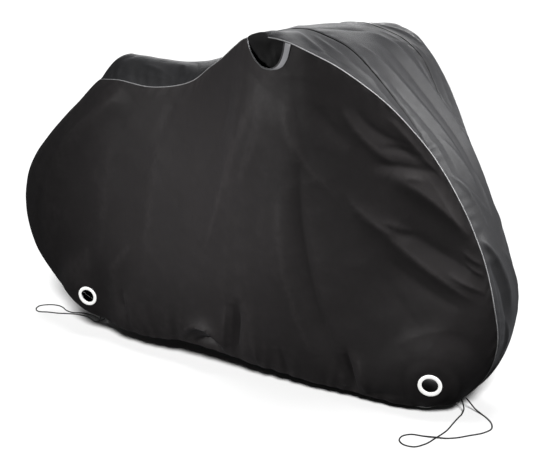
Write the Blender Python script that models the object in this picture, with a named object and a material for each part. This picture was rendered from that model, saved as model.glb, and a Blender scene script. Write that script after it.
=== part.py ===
"""A fitted bicycle cover of black nylon, as it hangs over a bicycle that is left out.

Lengths are in metres. While the cover is modelled, +X is the bicycle's forward direction, +Y its left and
+Z up, and the ground is z = 0. One empty carries every piece and puts the origin just under the cover's top,
where the handlebar holds it up.

A station runs from 0 at the centre of the back, over the saddle and the handlebar, to 1 at the hem under the
front wheel. Each table below has a row for each section that shapes the cover. The tables give the right side,
whose y is negative, and the left side is its mirror image with folds of its own.
"""

import math

import bpy
import numpy as np

# Cloth, trim and cord sizes.
CLOTH = 0.002
TAPE = 0.0012
GAP = 0.0003
SEAM_GAP = 0.0008
PIPING_RADIUS = 0.0022
PIPING_END = 0.001
CORD_RADIUS = 0.0014
TAPE_WIDTH = 0.013

# How far a cloth's edge stops from the piping's centre line, the tape's lift off the cloth it is sewn to, and
# how far it reaches over the U's edge.
PIPING_ROOM = 0.0032
WALL_ROOM = 0.0037
TAPE_LIFT = 0.0012
TAPE_LAP = 0.0015

# The point under the top where the handlebar holds the cover.
HOLD_X = 0.300
HOLD_Z = 1.088


def table(columns, rows):
    """A short table: one array for each named column."""
    values = np.array(rows, float)
    return {name: values[:, i] for i, name in enumerate(columns.split())}


# The seam that carries the piping, round the top of each side panel.
PIPING = table("station x y z", [
    (0.000, -0.578, 0.000, 0.888),
    (0.024, -0.562, -0.054, 0.892),
    (0.053, -0.499, -0.085, 0.898),
    (0.075, -0.448, -0.100, 0.901),
    (0.131, -0.318, -0.105, 0.888),
    (0.175, -0.212, -0.108, 0.898),
    (0.208, -0.137, -0.120, 0.919),
    (0.253, -0.048, -0.150, 0.969),
    (0.283, 0.010, -0.180, 0.996),
    (0.332, 0.101, -0.235, 1.045),
    (0.380, 0.191, -0.300, 1.077),
    (0.412, 0.258, -0.325, 1.083),
    (0.445, 0.333, -0.340, 1.076),
    (0.469, 0.384, -0.336, 1.058),
    (0.514, 0.465, -0.288, 1.009),
    (0.567, 0.548, -0.227, 0.937),
    (0.613, 0.612, -0.177, 0.862),
    (0.662, 0.673, -0.132, 0.773),
    (0.729, 0.751, -0.101, 0.639),
    (0.804, 0.824, -0.089, 0.477),
    (0.853, 0.854, -0.086, 0.364),
    (0.902, 0.860, -0.058, 0.239),
    (0.939, 0.833, -0.037, 0.149),
    (0.977, 0.788, -0.033, 0.081),
    (1.000, 0.757, -0.030, 0.051),
])

# The seam between the centre strip and a gusset. It meets the piping at the gusset's two tips.
STRIP_SEAM = table("station x y z", [
    (0.205, -0.143, -0.118, 0.917),
    (0.253, -0.048, -0.130, 0.974),
    (0.283, 0.011, -0.140, 1.003),
    (0.332, 0.103, -0.152, 1.051),
    (0.380, 0.193, -0.160, 1.085),
    (0.412, 0.258, -0.163, 1.096),
    (0.445, 0.322, -0.165, 1.092),
    (0.469, 0.378, -0.168, 1.075),
    (0.492, 0.422, -0.170, 1.058),
    (0.514, 0.460, -0.170, 1.034),
    (0.540, 0.504, -0.166, 0.993),
    (0.567, 0.541, -0.147, 0.944),
    (0.590, 0.567, -0.133, 0.905),
    (0.613, 0.596, -0.126, 0.868),
    (0.637, 0.634, -0.127, 0.822),
    (0.660, 0.671, -0.1325, 0.776),
])

# The centre line of the strip, y = 0.
CROWN = table("station x z", [
    (0.024, -0.578, 0.888),
    (0.036, -0.560, 0.920),
    (0.050, -0.537, 0.948),
    (0.068, -0.500, 0.971),
    (0.090, -0.455, 0.974),
    (0.131, -0.365, 0.966),
    (0.175, -0.248, 0.959),
    (0.208, -0.165, 0.967),
    (0.253, -0.062, 0.994),
    (0.283, 0.004, 1.018),
    (0.332, 0.100, 1.058),
    (0.380, 0.193, 1.087),
    (0.412, 0.258, 1.096),
    (0.445, 0.326, 1.092),
    (0.469, 0.384, 1.075),
    (0.514, 0.466, 1.034),
    (0.567, 0.552, 0.947),
    (0.613, 0.618, 0.872),
    (0.662, 0.689, 0.783),
    (0.729, 0.767, 0.647),
    (0.804, 0.841, 0.480),
    (0.853, 0.872, 0.366),
    (0.902, 0.866, 0.239),
    (0.939, 0.826, 0.147),
    (0.977, 0.780, 0.081),
    (1.000, 0.751, 0.049),
])

# The strip's section falls away from its crown with this power of the distance across.
STRIP_ROUNDNESS = 2.2

# Folds across the strip, from (s0, t0) to (s1, t1), where s is the station and t runs from -1 at the right edge
# to 1 at the left.
STRIP_FOLDS = table("s0 t0 s1 t1 width depth", [
    (0.470, -0.35, 0.800, 0.35, 0.030, 0.007),
    (0.480, 0.15, 0.700, 0.75, 0.030, 0.006),
    (0.500, -0.10, 0.720, 0.45, 0.026, -0.005),
    (0.660, -0.55, 0.860, -0.05, 0.024, 0.005),
    (0.110, -0.60, 0.210, -0.10, 0.026, 0.004),
    (0.130, 0.55, 0.230, 0.10, 0.026, 0.004),
])

# The stations of each gusset's two tips, where it is still wide enough to have two edges.
GUSSET_TIPS = (0.217, 0.6555)

# A rise in each gusset where the bar's end pushes up from inside: its station and height.
GUSSET_RISE = {"right": (0.412, 0.016), "left": (0.447, 0.010)}
GUSSET_RISE_REACH = 0.028
GUSSET_SAG = 0.035

# The gathered hem. The tuck is how far the cloth above it stands out past the straight line up to the piping.
HEM = table("station x y z tuck", [
    (0.000, -0.622, 0.000, 0.078, 0.000),
    (0.024, -0.616, -0.050, 0.078, 0.002),
    (0.053, -0.597, -0.083, 0.077, 0.005),
    (0.075, -0.573, -0.100, 0.073, 0.008),
    (0.131, -0.486, -0.121, 0.063, 0.016),
    (0.175, -0.405, -0.131, 0.060, 0.022),
    (0.208, -0.345, -0.137, 0.059, 0.026),
    (0.253, -0.262, -0.141, 0.063, 0.027),
    (0.283, -0.195, -0.144, 0.072, 0.027),
    (0.332, -0.092, -0.146, 0.069, 0.026),
    (0.380, -0.002, -0.146, 0.060, 0.026),
    (0.412, 0.058, -0.146, 0.054, 0.026),
    (0.445, 0.120, -0.146, 0.049, 0.026),
    (0.469, 0.163, -0.146, 0.047, 0.026),
    (0.514, 0.248, -0.145, 0.040, 0.026),
    (0.567, 0.343, -0.142, 0.034, 0.028),
    (0.613, 0.423, -0.138, 0.030, 0.030),
    (0.662, 0.504, -0.135, 0.026, 0.032),
    (0.729, 0.598, -0.129, 0.022, 0.034),
    (0.804, 0.675, -0.117, 0.026, 0.034),
    (0.853, 0.708, -0.101, 0.029, 0.029),
    (0.902, 0.729, -0.083, 0.034, 0.020),
    (0.939, 0.740, -0.065, 0.039, 0.012),
    (0.977, 0.747, -0.045, 0.045, 0.004),
    (1.000, 0.749, -0.034, 0.048, 0.000),
])

# The seam down the centre of the back, where the side panels meet round the rear wheel.
BACK_SEAM = table("x z", [
    (-0.622, 0.078),
    (-0.684, 0.090),
    (-0.758, 0.128),
    (-0.842, 0.194),
    (-0.915, 0.280),
    (-0.950, 0.370),
    (-0.956, 0.450),
    (-0.936, 0.530),
    (-0.888, 0.610),
    (-0.833, 0.669),
    (-0.745, 0.750),
    (-0.664, 0.817),
    (-0.610, 0.865),
    (-0.578, 0.888),
])

# The station up to which the back's shape reaches round the sides, and the tuck's rise and fall up the side.
BACK_REACH = 0.30
TUCK_RISE = 0.06
TUCK_FALL = 1.2

# Folds of the side panels. Each is a soft ridge, or a trough where its depth is negative, that runs from
# (x0, z0) through (xm, zm) to (x1, z1), seen from the side.
FOLD_COLUMNS = "x0 z0 xm zm x1 z1 width depth"
RIGHT_FOLDS = table(FOLD_COLUMNS, [
    (-0.436, 0.870, -0.522, 0.799, -0.612, 0.715, 0.045, 0.007),
    (0.228, 0.951, 0.108, 0.748, -0.048, 0.412, 0.085, 0.016),
    (0.350, 0.760, 0.348, 0.430, 0.437, 0.080, 0.042, -0.013),
    (0.255, 0.600, 0.262, 0.360, 0.330, 0.130, 0.055, 0.008),
    (0.350, 0.770, 0.450, 0.636, 0.590, 0.545, 0.034, -0.007),
    (0.476, 0.638, 0.614, 0.499, 0.800, 0.385, 0.034, 0.013),
    (0.490, 0.875, 0.545, 0.800, 0.665, 0.745, 0.032, 0.010),
    (0.520, 0.740, 0.600, 0.700, 0.690, 0.690, 0.030, -0.006),
    (0.589, 0.708, 0.671, 0.660, 0.775, 0.580, 0.034, 0.009),
    (0.610, 0.610, 0.710, 0.540, 0.810, 0.470, 0.040, -0.008),
    (0.078, 0.241, 0.059, 0.170, 0.029, 0.085, 0.024, -0.012),
    (-0.130, 0.125, -0.090, 0.100, -0.050, 0.085, 0.024, -0.010),
    (0.443, 0.150, 0.441, 0.090, 0.438, 0.040, 0.020, -0.010),
    (-0.425, 0.200, -0.411, 0.140, -0.393, 0.090, 0.022, -0.005),
    (0.500, 0.040, 0.559, 0.050, 0.613, 0.058, 0.020, -0.007),
])
LEFT_FOLDS = table(FOLD_COLUMNS, [
    (-0.430, 0.865, -0.530, 0.785, -0.640, 0.690, 0.050, 0.007),
    (0.250, 0.940, 0.170, 0.700, 0.010, 0.360, 0.080, 0.015),
    (0.330, 0.820, 0.300, 0.500, 0.340, 0.110, 0.045, -0.014),
    (0.420, 0.900, 0.500, 0.740, 0.640, 0.620, 0.038, 0.011),
    (0.440, 0.660, 0.590, 0.520, 0.790, 0.420, 0.036, 0.012),
    (0.400, 0.560, 0.560, 0.400, 0.740, 0.300, 0.045, -0.009),
    (-0.180, 0.800, -0.230, 0.560, -0.320, 0.300, 0.070, 0.008),
    (-0.020, 0.260, -0.040, 0.170, -0.030, 0.085, 0.026, -0.011),
    (-0.300, 0.210, -0.290, 0.140, -0.300, 0.080, 0.024, -0.008),
    (0.300, 0.170, 0.310, 0.100, 0.300, 0.050, 0.024, -0.009),
])

# The vent: a U cut into the top of each side panel at the handlebar's end.
VENT_STATION = 0.410
VENT_HALF = 0.030
VENT_DEPTH = 0.087
VENT_SKEW = 0.35
VENT_ROUNDNESS = 2.2
POCKET_SETBACK = 0.006
POCKET_DEPTH = 0.024
POCKET_DROP = 0.130
POCKET_SPREAD = 1.15
POCKET_HANG = 0.002

# The eyelets, at a station and a share of the height from the hem to the piping, and the way each one faces.
EYELETS = {
    "rear": (0.118, 0.154, (0.18, -0.96, -0.16)),
    "front": (0.792, 0.178, (0.30, -0.93, -0.17)),
}
PATCH_RADIUS = 0.047
RING_OUTER = 0.035
RING_INNER = 0.0234
RING_BARREL = 0.0262
RING_FLANGE = 0.002
RING_BEVEL = 0.0007
PATCH_SIDES = 24
RING_SIDES = 20
CUTTER_DEPTH = 0.02
FLAT_RADIUS = 0.056
FLAT_BLEND = 0.085

# The draw cord's loops, from the hem to the ground and back.
CORD_ROUTES = {
    "front": [
        (0.7515, -0.035, 0.0448), (0.757, -0.036, 0.0320), (0.761, -0.036, 0.0150),
        (0.760, -0.054, 0.0016), (0.764, -0.122, 0.0016), (0.768, -0.174, 0.0016),
        (0.762, -0.233, 0.0016), (0.752, -0.290, 0.0016), (0.735, -0.318, 0.0016),
        (0.707, -0.321, 0.0016), (0.684, -0.303, 0.0016), (0.679, -0.270, 0.0016),
        (0.694, -0.250, 0.0016), (0.723, -0.243, 0.0020), (0.761, -0.237, 0.0052),
        (0.790, -0.220, 0.0022), (0.810, -0.203, 0.0016), (0.831, -0.175, 0.0016),
        (0.862, -0.130, 0.0016), (0.870, -0.098, 0.0016), (0.858, -0.064, 0.0016),
        (0.834, -0.036, 0.0016), (0.808, -0.016, 0.0030), (0.783, -0.008, 0.0120),
        (0.769, -0.012, 0.0290), (0.760, -0.019, 0.0430),
    ],
    "rear": [
        (-0.634, 0.012, 0.0620), (-0.640, 0.016, 0.0450), (-0.652, 0.022, 0.0180),
        (-0.682, 0.036, 0.0016), (-0.740, 0.058, 0.0016), (-0.790, 0.058, 0.0016),
        (-0.832, 0.042, 0.0016), (-0.866, 0.050, 0.0016), (-0.898, 0.068, 0.0016),
        (-0.930, 0.076, 0.0016), (-0.966, 0.064, 0.0016), (-0.986, 0.037, 0.0016),
        (-0.974, 0.004, 0.0016), (-0.942, -0.016, 0.0016), (-0.908, -0.003, 0.0016),
        (-0.866, 0.008, 0.0016), (-0.836, 0.022, 0.0016), (-0.795, 0.036, 0.0016),
        (-0.740, 0.034, 0.0016), (-0.690, 0.010, 0.0016), (-0.652, -0.006, 0.0180),
        (-0.640, -0.010, 0.0450), (-0.634, -0.011, 0.0620),
    ],
}
CORD_POINTS = {"front": 78, "rear": 60}

# Colours: base colour, roughness, metallic.
BLACK_NYLON = ("black nylon", (0.018, 0.018, 0.020), 0.55, 0.0)
POCKET_NYLON = ("black nylon lining", (0.014, 0.014, 0.015), 0.65, 0.0)
GREY_PIPING = ("reflective grey", (0.55, 0.55, 0.56), 0.40, 0.0)
WHITE_PLASTIC = ("white plastic", (0.80, 0.80, 0.79), 0.35, 0.0)
CORD_BLACK = ("black cord", (0.012, 0.012, 0.012), 0.70, 0.0)


# Curves through the tables.

def smooth(knots, values, at):
    """Values on a smooth curve through the rows (knots, values), at each place in the array `at`."""
    values = values if values.ndim > 1 else values[:, None]
    step = np.diff(knots)
    slope = np.diff(values, axis=0) / step[:, None]
    tangent = np.empty_like(values)
    inner = (slope[:-1] * step[1:, None] + slope[1:] * step[:-1, None]) / (step[:-1] + step[1:])[:, None]
    tangent[1:-1] = inner
    tangent[0] = 1.5 * slope[0] - 0.5 * tangent[1]
    tangent[-1] = 1.5 * slope[-1] - 0.5 * tangent[-2]
    at = np.asarray(at, float)
    i = np.clip(np.searchsorted(knots, at, side="right") - 1, 0, len(step) - 1)
    h = step[i][..., None]
    t = ((at - knots[i]) / step[i])[..., None]
    return (values[i] * (2 * t**3 - 3 * t**2 + 1) + values[i + 1] * (3 * t**2 - 2 * t**3)
            + tangent[i] * h * (t**3 - 2 * t**2 + t) + tangent[i + 1] * h * (t**3 - t**2))


def along(rows, names, station):
    """The named columns of a table, at a station or an array of them."""
    values = np.stack([rows[name] for name in names], axis=-1)
    return smooth(rows["station"], values, station)


def piping(station):
    return along(PIPING, "xyz", station)


def hem(station):
    return along(HEM, "xyz", station)


def crown(station):
    x, z = np.moveaxis(along(CROWN, "xz", station), -1, 0)
    return np.stack([x, np.zeros_like(x), z], axis=-1)


def back_seam(height):
    """The back seam, from the hem at height 0 to the piping at height 1, by its own length."""
    points = np.stack([BACK_SEAM["x"], BACK_SEAM["z"]], axis=-1)
    length = np.concatenate([[0], np.cumsum(np.linalg.norm(np.diff(points, axis=0), axis=1))])
    x, z = np.moveaxis(smooth(length / length[-1], points, height), -1, 0)
    return np.stack([x, np.zeros_like(x), z], axis=-1)


def fade(distance, near, far):
    """1 up to `near`, 0 from `far` on, and a smooth step between them."""
    t = np.clip((far - distance) / (far - near), 0, 1)
    return t * t * (3 - 2 * t)


def unit(vector):
    return vector / np.linalg.norm(vector, axis=-1, keepdims=True)


def surface_normal(surface, station, height):
    """The outward normal of a surface(station, height), from its slopes."""
    step = 1e-4
    low_s, high_s = np.clip(station - step, 0, 1), np.clip(station + step, 0, 1)
    low_h, high_h = np.clip(height - step, 0, 1), np.clip(height + step, 0, 1)
    return unit(np.cross(surface(high_s, height) - surface(low_s, height),
                         surface(station, high_h) - surface(station, low_h)))


# The side panel's surface.

def stretched_wall(station, height):
    """The right side as tight cloth: straight from hem to piping, and drawn out round the rear wheel."""
    height = np.asarray(height, float)
    foot, top = hem(station), piping(station)
    straight = foot + (top - foot) * height[..., None]
    back_line = hem(0.0) + (piping(0.0) - hem(0.0)) * height[..., None]
    reach = 0.5 + 0.5 * np.cos(math.pi * np.clip(np.asarray(station) / BACK_REACH, 0, 1))
    return straight + (back_seam(height) - back_line) * reach[..., None]


def tucked_wall(station, height):
    """The side with its foot drawn in by the elastic in the hem."""
    tuck = along(HEM, ["tuck"], station)[..., 0]
    out = tuck * (1 - np.exp(-height / TUCK_RISE)) * (1 - height) ** TUCK_FALL
    return stretched_wall(station, height) + surface_normal(stretched_wall, station, height) * out[..., None]


def fold_relief(x, z, folds):
    """How far the folds lift the cloth at places (x, z), seen from the side."""
    relief = np.zeros_like(x)
    turns = np.linspace(0, 1, 13)
    for i in range(len(folds["x0"])):
        fold = {name: column[i] for name, column in folds.items()}
        path = np.stack([
            fold[a + "0"] * (1 - turns) * (1 - 2 * turns) + fold[a + "m"] * 4 * turns * (1 - turns)
            + fold[a + "1"] * turns * (2 * turns - 1) for a in "xz"], axis=-1)
        nearest = np.full(x.shape, 9.0)
        place = np.zeros_like(x)
        for k in range(len(turns) - 1):
            start, run = path[k], path[k + 1] - path[k]
            t = np.clip(((x - start[0]) * run[0] + (z - start[1]) * run[1]) / (run @ run), 0, 1)
            away = np.hypot(x - start[0] - run[0] * t, z - start[1] - run[1] * t)
            closer = away < nearest
            nearest = np.where(closer, away, nearest)
            place = np.where(closer, (k + t) / (len(turns) - 1), place)
        taper = np.sin(math.pi * np.clip(place * 0.94 + 0.03, 0, 1)) ** 0.6
        relief += fold["depth"] * taper * np.exp(-(nearest / fold["width"]) ** 2)
    return relief


def eyelet_frame(which):
    """Centre and outward normal of an eyelet on the right side."""
    station, height, outward = EYELETS[which]
    return tucked_wall(np.array(station), np.array(height)), unit(np.array(outward))


def right_wall(station, height, folds):
    """The draped side panel's middle surface: tucked, folded, and flat round each eyelet."""
    points = tucked_wall(station, height)
    normal = surface_normal(tucked_wall, station, height)
    lift = fold_relief(points[..., 0], points[..., 2], folds)
    lift = lift * np.clip(np.minimum(1 - height, station / 0.05) / 0.08, 0, 1)
    flat = np.zeros_like(lift)
    flatten = np.zeros_like(points)
    for which in EYELETS:
        centre, outward = eyelet_frame(which)
        near = fade(np.linalg.norm(points - centre, axis=-1), FLAT_RADIUS, FLAT_RADIUS + FLAT_BLEND)
        flatten -= outward * (((points - centre) @ outward) * near)[..., None]
        flat = np.maximum(flat, near)
    return points + flatten + normal * (lift * (1 - flat))[..., None]


def draped_wall(side, station, height):
    """Points and outward normals of one side panel's middle surface. Both sides are laid out on the right."""
    folds = RIGHT_FOLDS if side == "right" else LEFT_FOLDS

    def surface(s, h):
        return right_wall(s, h, folds)

    return surface(station, height), surface_normal(surface, station, height)


# Meshes and objects.

def make_material(finish):
    name, colour, roughness, metallic = finish
    material = bpy.data.materials.get(name) or bpy.data.materials.new(name)
    material.use_nodes = True
    shader = material.node_tree.nodes["Principled BSDF"]
    shader.inputs["Base Color"].default_value = (*colour, 1.0)
    shader.inputs["Roughness"].default_value = roughness
    shader.inputs["Metallic"].default_value = metallic
    return material


def add_object(name, data, finish, carrier):
    piece = bpy.data.objects.new(name, data)
    bpy.context.scene.collection.objects.link(piece)
    data.materials.append(make_material(finish))
    piece.parent = carrier
    return piece


def add_mesh(name, points, faces, finish, carrier, mirrored=False):
    """A mesh object; the mirrored one has its y turned round, and its faces with it."""
    points = np.array(points, float).reshape(-1, 3)
    if mirrored:
        points = points * (1, -1, 1)
        faces = [tuple(reversed(face)) for face in faces]
    mesh = bpy.data.meshes.new(name)
    mesh.from_pydata(points.tolist(), [], faces)
    mesh.update()
    mesh.shade_smooth()
    mesh.set_sharp_from_angle(angle=math.radians(40))
    return add_object(name, mesh, finish, carrier)


def sheet(grid, normal, thickness):
    """Points and faces of a closed sheet, from a grid of its middle surface and the normals there.

    Both faces split each cell along the same diagonal, so that they stay apart where the cloth twists.
    """
    rows, columns = grid.shape[:2]
    points = np.vstack([(grid + normal * thickness / 2).reshape(-1, 3),
                        (grid - normal * thickness / 2).reshape(-1, 3)])
    under = rows * columns
    faces = []
    for i in range(rows - 1):
        for j in range(columns - 1):
            a, d = i * columns + j, i * columns + j + 1
            b, c = a + columns, d + columns
            across, back = grid[i, j] - grid[i + 1, j + 1], grid[i + 1, j] - grid[i, j + 1]
            if across @ across < back @ back:
                halves = [(a, b, c), (a, c, d)]
            else:
                halves = [(a, b, d), (b, c, d)]
            faces += halves
            faces += [(r + under, q + under, p + under) for p, q, r in halves]
    rim = [i * columns for i in range(rows)]
    rim += [(rows - 1) * columns + j for j in range(1, columns)]
    rim += [i * columns + columns - 1 for i in range(rows - 2, -1, -1)]
    rim += [j for j in range(columns - 2, 0, -1)]
    for p, q in zip(rim, rim[1:] + rim[:1]):
        faces.append((q, p, p + under, q + under))
    return points, faces


def grid_normal(grid):
    """Normals of a grid of points, by differences between neighbours."""
    return unit(np.cross(np.gradient(grid, axis=0), np.gradient(grid, axis=1)))


def turned(profile, sides, centre, outward):
    """Points and faces of a ring: a closed (radius, height) profile turned about the outward axis."""
    across = unit(np.cross(outward, (0.0, 0.0, 1.0)))
    up = np.cross(across, outward)
    points = []
    for k in range(sides):
        angle = 2 * math.pi * k / sides
        spoke = across * math.cos(angle) + up * math.sin(angle)
        points += [centre + spoke * radius + outward * height for radius, height in profile]
    count = len(profile)
    faces = []
    for k in range(sides):
        for m in range(count):
            a, b = k * count + m, k * count + (m + 1) % count
            c, d = ((k + 1) % sides) * count + (m + 1) % count, ((k + 1) % sides) * count + m
            faces.append((a, b, c, d))
    return points, faces


def tube(name, points, radius, finish, carrier, resolution):
    """A round cord along the points: a curve with a bevel and filled caps."""
    curve = bpy.data.curves.new(name, "CURVE")
    curve.dimensions = "3D"
    curve.bevel_depth = radius
    curve.bevel_resolution = resolution
    curve.use_fill_caps = True
    spline = curve.splines.new("POLY")
    spline.points.add(len(points) - 1)
    for point, place in zip(spline.points, points):
        point.co = (*place, 1.0)
    return add_object(name, curve, finish, carrier)


# Stations: the sections at which every piece's mesh has its points, so that neighbours run side by side.

def vent_stations():
    steps = (-1.04, -0.985, -0.9, -0.72, -0.48, -0.2, 0.1, 0.4, 0.66, 0.86, 0.96, 0.99, 1.04)
    return [VENT_STATION + VENT_HALF * step for step in steps]


STATIONS = np.array(
    [0.0, 0.008, 0.017, 0.027, 0.039, 0.054, 0.072, 0.093, 0.117, 0.141, 0.165, 0.190, 0.217, 0.240, 0.264,
     0.290, 0.318, 0.346]
    + vent_stations()
    + [0.478, 0.500, 0.525, 0.550, 0.576, 0.603, 0.630, 0.6555, 0.683, 0.711, 0.740, 0.769, 0.797, 0.824,
       0.850, 0.875, 0.899, 0.921, 0.942, 0.962, 0.981, 0.996])
HEIGHTS = np.array([0.0, 0.035, 0.075, 0.125, 0.185, 0.25, 0.32, 0.39, 0.46, 0.53, 0.60, 0.67, 0.74, 0.81,
                    0.88, 0.945, 1.0])


def vent_dip(station):
    """How far the vent's U takes the side panel's top edge down, as a share of the height."""
    across = np.clip((np.asarray(station) - VENT_STATION) / VENT_HALF, -1, 1)
    across = across - VENT_SKEW * (1 - across**2)
    return VENT_DEPTH * np.sqrt(1 - np.minimum(np.abs(across), 1) ** VENT_ROUNDNESS)


def under_piping(station):
    """The share of the height at which the side panel stops short of the piping."""
    station = np.asarray(station, float)
    step = 1e-3
    rise = (stretched_wall(station, np.ones_like(station)) - stretched_wall(station, 1 - step)) / step
    tangent = unit(piping(np.clip(station + step, 0, 1)) - piping(np.clip(station - step, 0, 1)))
    reach = np.linalg.norm(np.cross(rise, tangent), axis=-1)
    return 1 - WALL_ROOM / reach


def build_side_panel(side, carrier):
    top = under_piping(STATIONS) - vent_dip(STATIONS)
    station, share = np.meshgrid(STATIONS, HEIGHTS, indexing="ij")
    height = share * top[:, None]
    grid, normal = draped_wall(side, station, height)
    grid[0, :, 1] = -SEAM_GAP / 2
    normal[0] = (-1.0, 0.0, 0.0)
    points, faces = sheet(grid, normal, CLOTH)
    panel = add_mesh(f"side_panel_{side}", points, faces, BLACK_NYLON, carrier, side == "left")
    for which in EYELETS:
        cutter = add_eyelet_cutter(side, which, carrier)
        cut = panel.modifiers.new(f"{which} eyelet", "BOOLEAN")
        cut.operation = "DIFFERENCE"
        cut.solver = "EXACT"
        cut.object = cutter


def add_eyelet_cutter(side, which, carrier):
    """A short round bar that cuts the eyelet patch's place out of the side panel."""
    centre, outward = eyelet_frame(which)
    radius, sides = PATCH_RADIUS + GAP, PATCH_SIDES
    across = unit(np.cross(outward, (0.0, 0.0, 1.0)))
    up = np.cross(across, outward)
    points = []
    for depth in (-CUTTER_DEPTH, CUTTER_DEPTH):
        for k in range(sides):
            angle = 2 * math.pi * k / sides
            points.append(centre + (across * math.cos(angle) + up * math.sin(angle)) * radius
                          + outward * depth)
    faces = [tuple(range(sides)), tuple(range(2 * sides - 1, sides - 1, -1))]
    faces += [(sides + k, sides + (k + 1) % sides, (k + 1) % sides, k) for k in range(sides)]
    cutter = add_mesh(f"cutter_{side}_{which}", points, faces, BLACK_NYLON, carrier, side == "left")
    cutter.hide_render = True
    cutter.display_type = "WIRE"
    return cutter


def build_eyelet(side, which, carrier):
    centre, outward = eyelet_frame(which)
    half = CLOTH / 2
    patch = [(RING_BARREL + GAP, -half), (PATCH_RADIUS, -half), (PATCH_RADIUS, half), (RING_BARREL + GAP, half)]
    points, faces = turned(patch, PATCH_SIDES, centre, outward)
    add_mesh(f"eyelet_patch_{side}_{which}", points, faces, BLACK_NYLON, carrier, side == "left")
    grip = half + GAP
    face = grip + RING_FLANGE
    flat = RING_OUTER - RING_BEVEL
    ring = [(RING_INNER, -face), (flat, -face), (RING_OUTER, RING_BEVEL - face), (RING_OUTER, -grip),
            (RING_BARREL, -grip), (RING_BARREL, grip), (RING_OUTER, grip), (RING_OUTER, face - RING_BEVEL),
            (flat, face), (RING_INNER, face)]
    points, faces = turned(ring, RING_SIDES, centre, outward)
    add_mesh(f"eyelet_ring_{side}_{which}", points, faces, WHITE_PLASTIC, carrier, side == "left")


def strip_edge(station):
    """The strip's right edge: on the piping, or on the gusset's seam where a gusset lies between them."""
    inside = (station > GUSSET_TIPS[0] - 1e-6) & (station < GUSSET_TIPS[1] + 1e-6)
    seam = along(STRIP_SEAM, "xyz", np.clip(station, *GUSSET_TIPS))
    edge = np.where(inside[..., None], seam, piping(station))
    back = np.where(inside, SEAM_GAP, PIPING_ROOM)
    return edge, back


def strip_relief(station, across, half_width):
    """How far the strip's folds lift it."""
    relief = np.zeros_like(across)
    for i in range(len(STRIP_FOLDS["s0"])):
        fold = {name: column[i] for name, column in STRIP_FOLDS.items()}
        run = np.clip((station - fold["s0"]) / (fold["s1"] - fold["s0"]), 0, 1)
        away = (across - fold["t0"] - (fold["t1"] - fold["t0"]) * run) * half_width
        relief += fold["depth"] * np.sin(math.pi * run) ** 0.7 * np.exp(-(away / fold["width"]) ** 2)
    return relief * np.clip((1 - np.abs(across)) / 0.3, 0, 1)


def square_step(toward, tangent):
    """Unit steps toward a place, square to a line's tangent."""
    tangent = unit(tangent)
    return unit(toward - tangent * np.sum(toward * tangent, axis=-1, keepdims=True))


def build_centre_strip(carrier):
    stations = STATIONS[STATIONS > 0.02]
    seam, back = strip_edge(stations)
    middle = crown(stations)
    tangent = np.gradient(seam, axis=0)
    edge = seam + square_step(middle - seam, tangent) * back[:, None]
    spread = np.array([-1.0, -0.78, -0.52, -0.26, 0.0, 0.26, 0.52, 0.78, 1.0])
    across = np.abs(spread)[None, :, None]
    fall = across**STRIP_ROUNDNESS
    grid = middle[:, None] + (edge - middle)[:, None] * np.concatenate([fall, across, fall], axis=-1)
    grid[..., 1] *= -np.sign(spread)
    rear = piping(stations[0] * np.abs(spread[1:-1]))
    rear[:, 1] *= -np.sign(spread[1:-1])
    grid[0, 1:-1] = rear + square_step(grid[1, 1:-1] - rear, np.gradient(rear, axis=0)) * back[0]
    station, place = np.meshgrid(stations, spread, indexing="ij")
    lift = strip_relief(station, place, np.abs(edge[:, 1:2]))
    grid = grid + grid_normal(grid) * lift[..., None]
    points, faces = sheet(grid, grid_normal(grid), CLOTH)
    add_mesh("centre_strip", points, faces, BLACK_NYLON, carrier)


def build_gusset(side, carrier):
    stations = STATIONS[(STATIONS > GUSSET_TIPS[0] - 1e-6) & (STATIONS < GUSSET_TIPS[1] + 1e-6)]
    inner, outer = along(STRIP_SEAM, "xyz", stations), piping(stations)
    across = outer - inner
    width = np.linalg.norm(across, axis=-1)
    low, high = SEAM_GAP / width, 1 - PIPING_ROOM / width
    share = np.linspace(0, 1, 5)
    sag = GUSSET_SAG * width
    peak, rise = GUSSET_RISE[side]
    lift = rise * np.exp(-((stations - peak) / GUSSET_RISE_REACH) ** 2)
    grid = np.empty((len(stations), len(share), 3))
    for j, t in enumerate(share):
        place = low + (high - low) * t
        grid[:, len(share) - 1 - j] = inner + across * place[:, None]
        grid[:, len(share) - 1 - j, 2] += lift * 9.5 * place**3 * (1 - place) - sag * 4 * place * (1 - place)
    points, faces = sheet(grid, grid_normal(grid), CLOTH)
    add_mesh(f"gusset_{side}", points, faces, BLACK_NYLON, carrier, side == "left")


def build_piping(side, carrier):
    points = piping(STATIONS)
    points[0, 1] = -PIPING_END
    if side == "left":
        points = points * (1, -1, 1)
    tube(f"piping_{side}", points, PIPING_RADIUS, GREY_PIPING, carrier, 1)


def build_vent_tape(side, carrier):
    """The tape that is sewn round the U, on the side panel's outer face."""
    turn = np.linspace(0.02, 0.98, 21) * math.pi
    station = VENT_STATION - VENT_HALF * np.cos(turn)
    height = under_piping(station) - vent_dip(station)
    edge, outward = draped_wall(side, station, height)
    away = unit(np.cross(np.gradient(edge, axis=0), outward))
    grid = np.stack([edge + away * reach + outward * (CLOTH / 2 + TAPE / 2 + TAPE_LIFT)
                     for reach in (-TAPE_LAP, TAPE_WIDTH / 2, TAPE_WIDTH)], axis=1)
    normal = np.repeat(outward[:, None], 3, axis=1)
    points, faces = sheet(grid[:, ::-1], normal, TAPE)
    add_mesh(f"vent_tape_{side}", points, faces, GREY_PIPING, carrier, side == "left")


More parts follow.
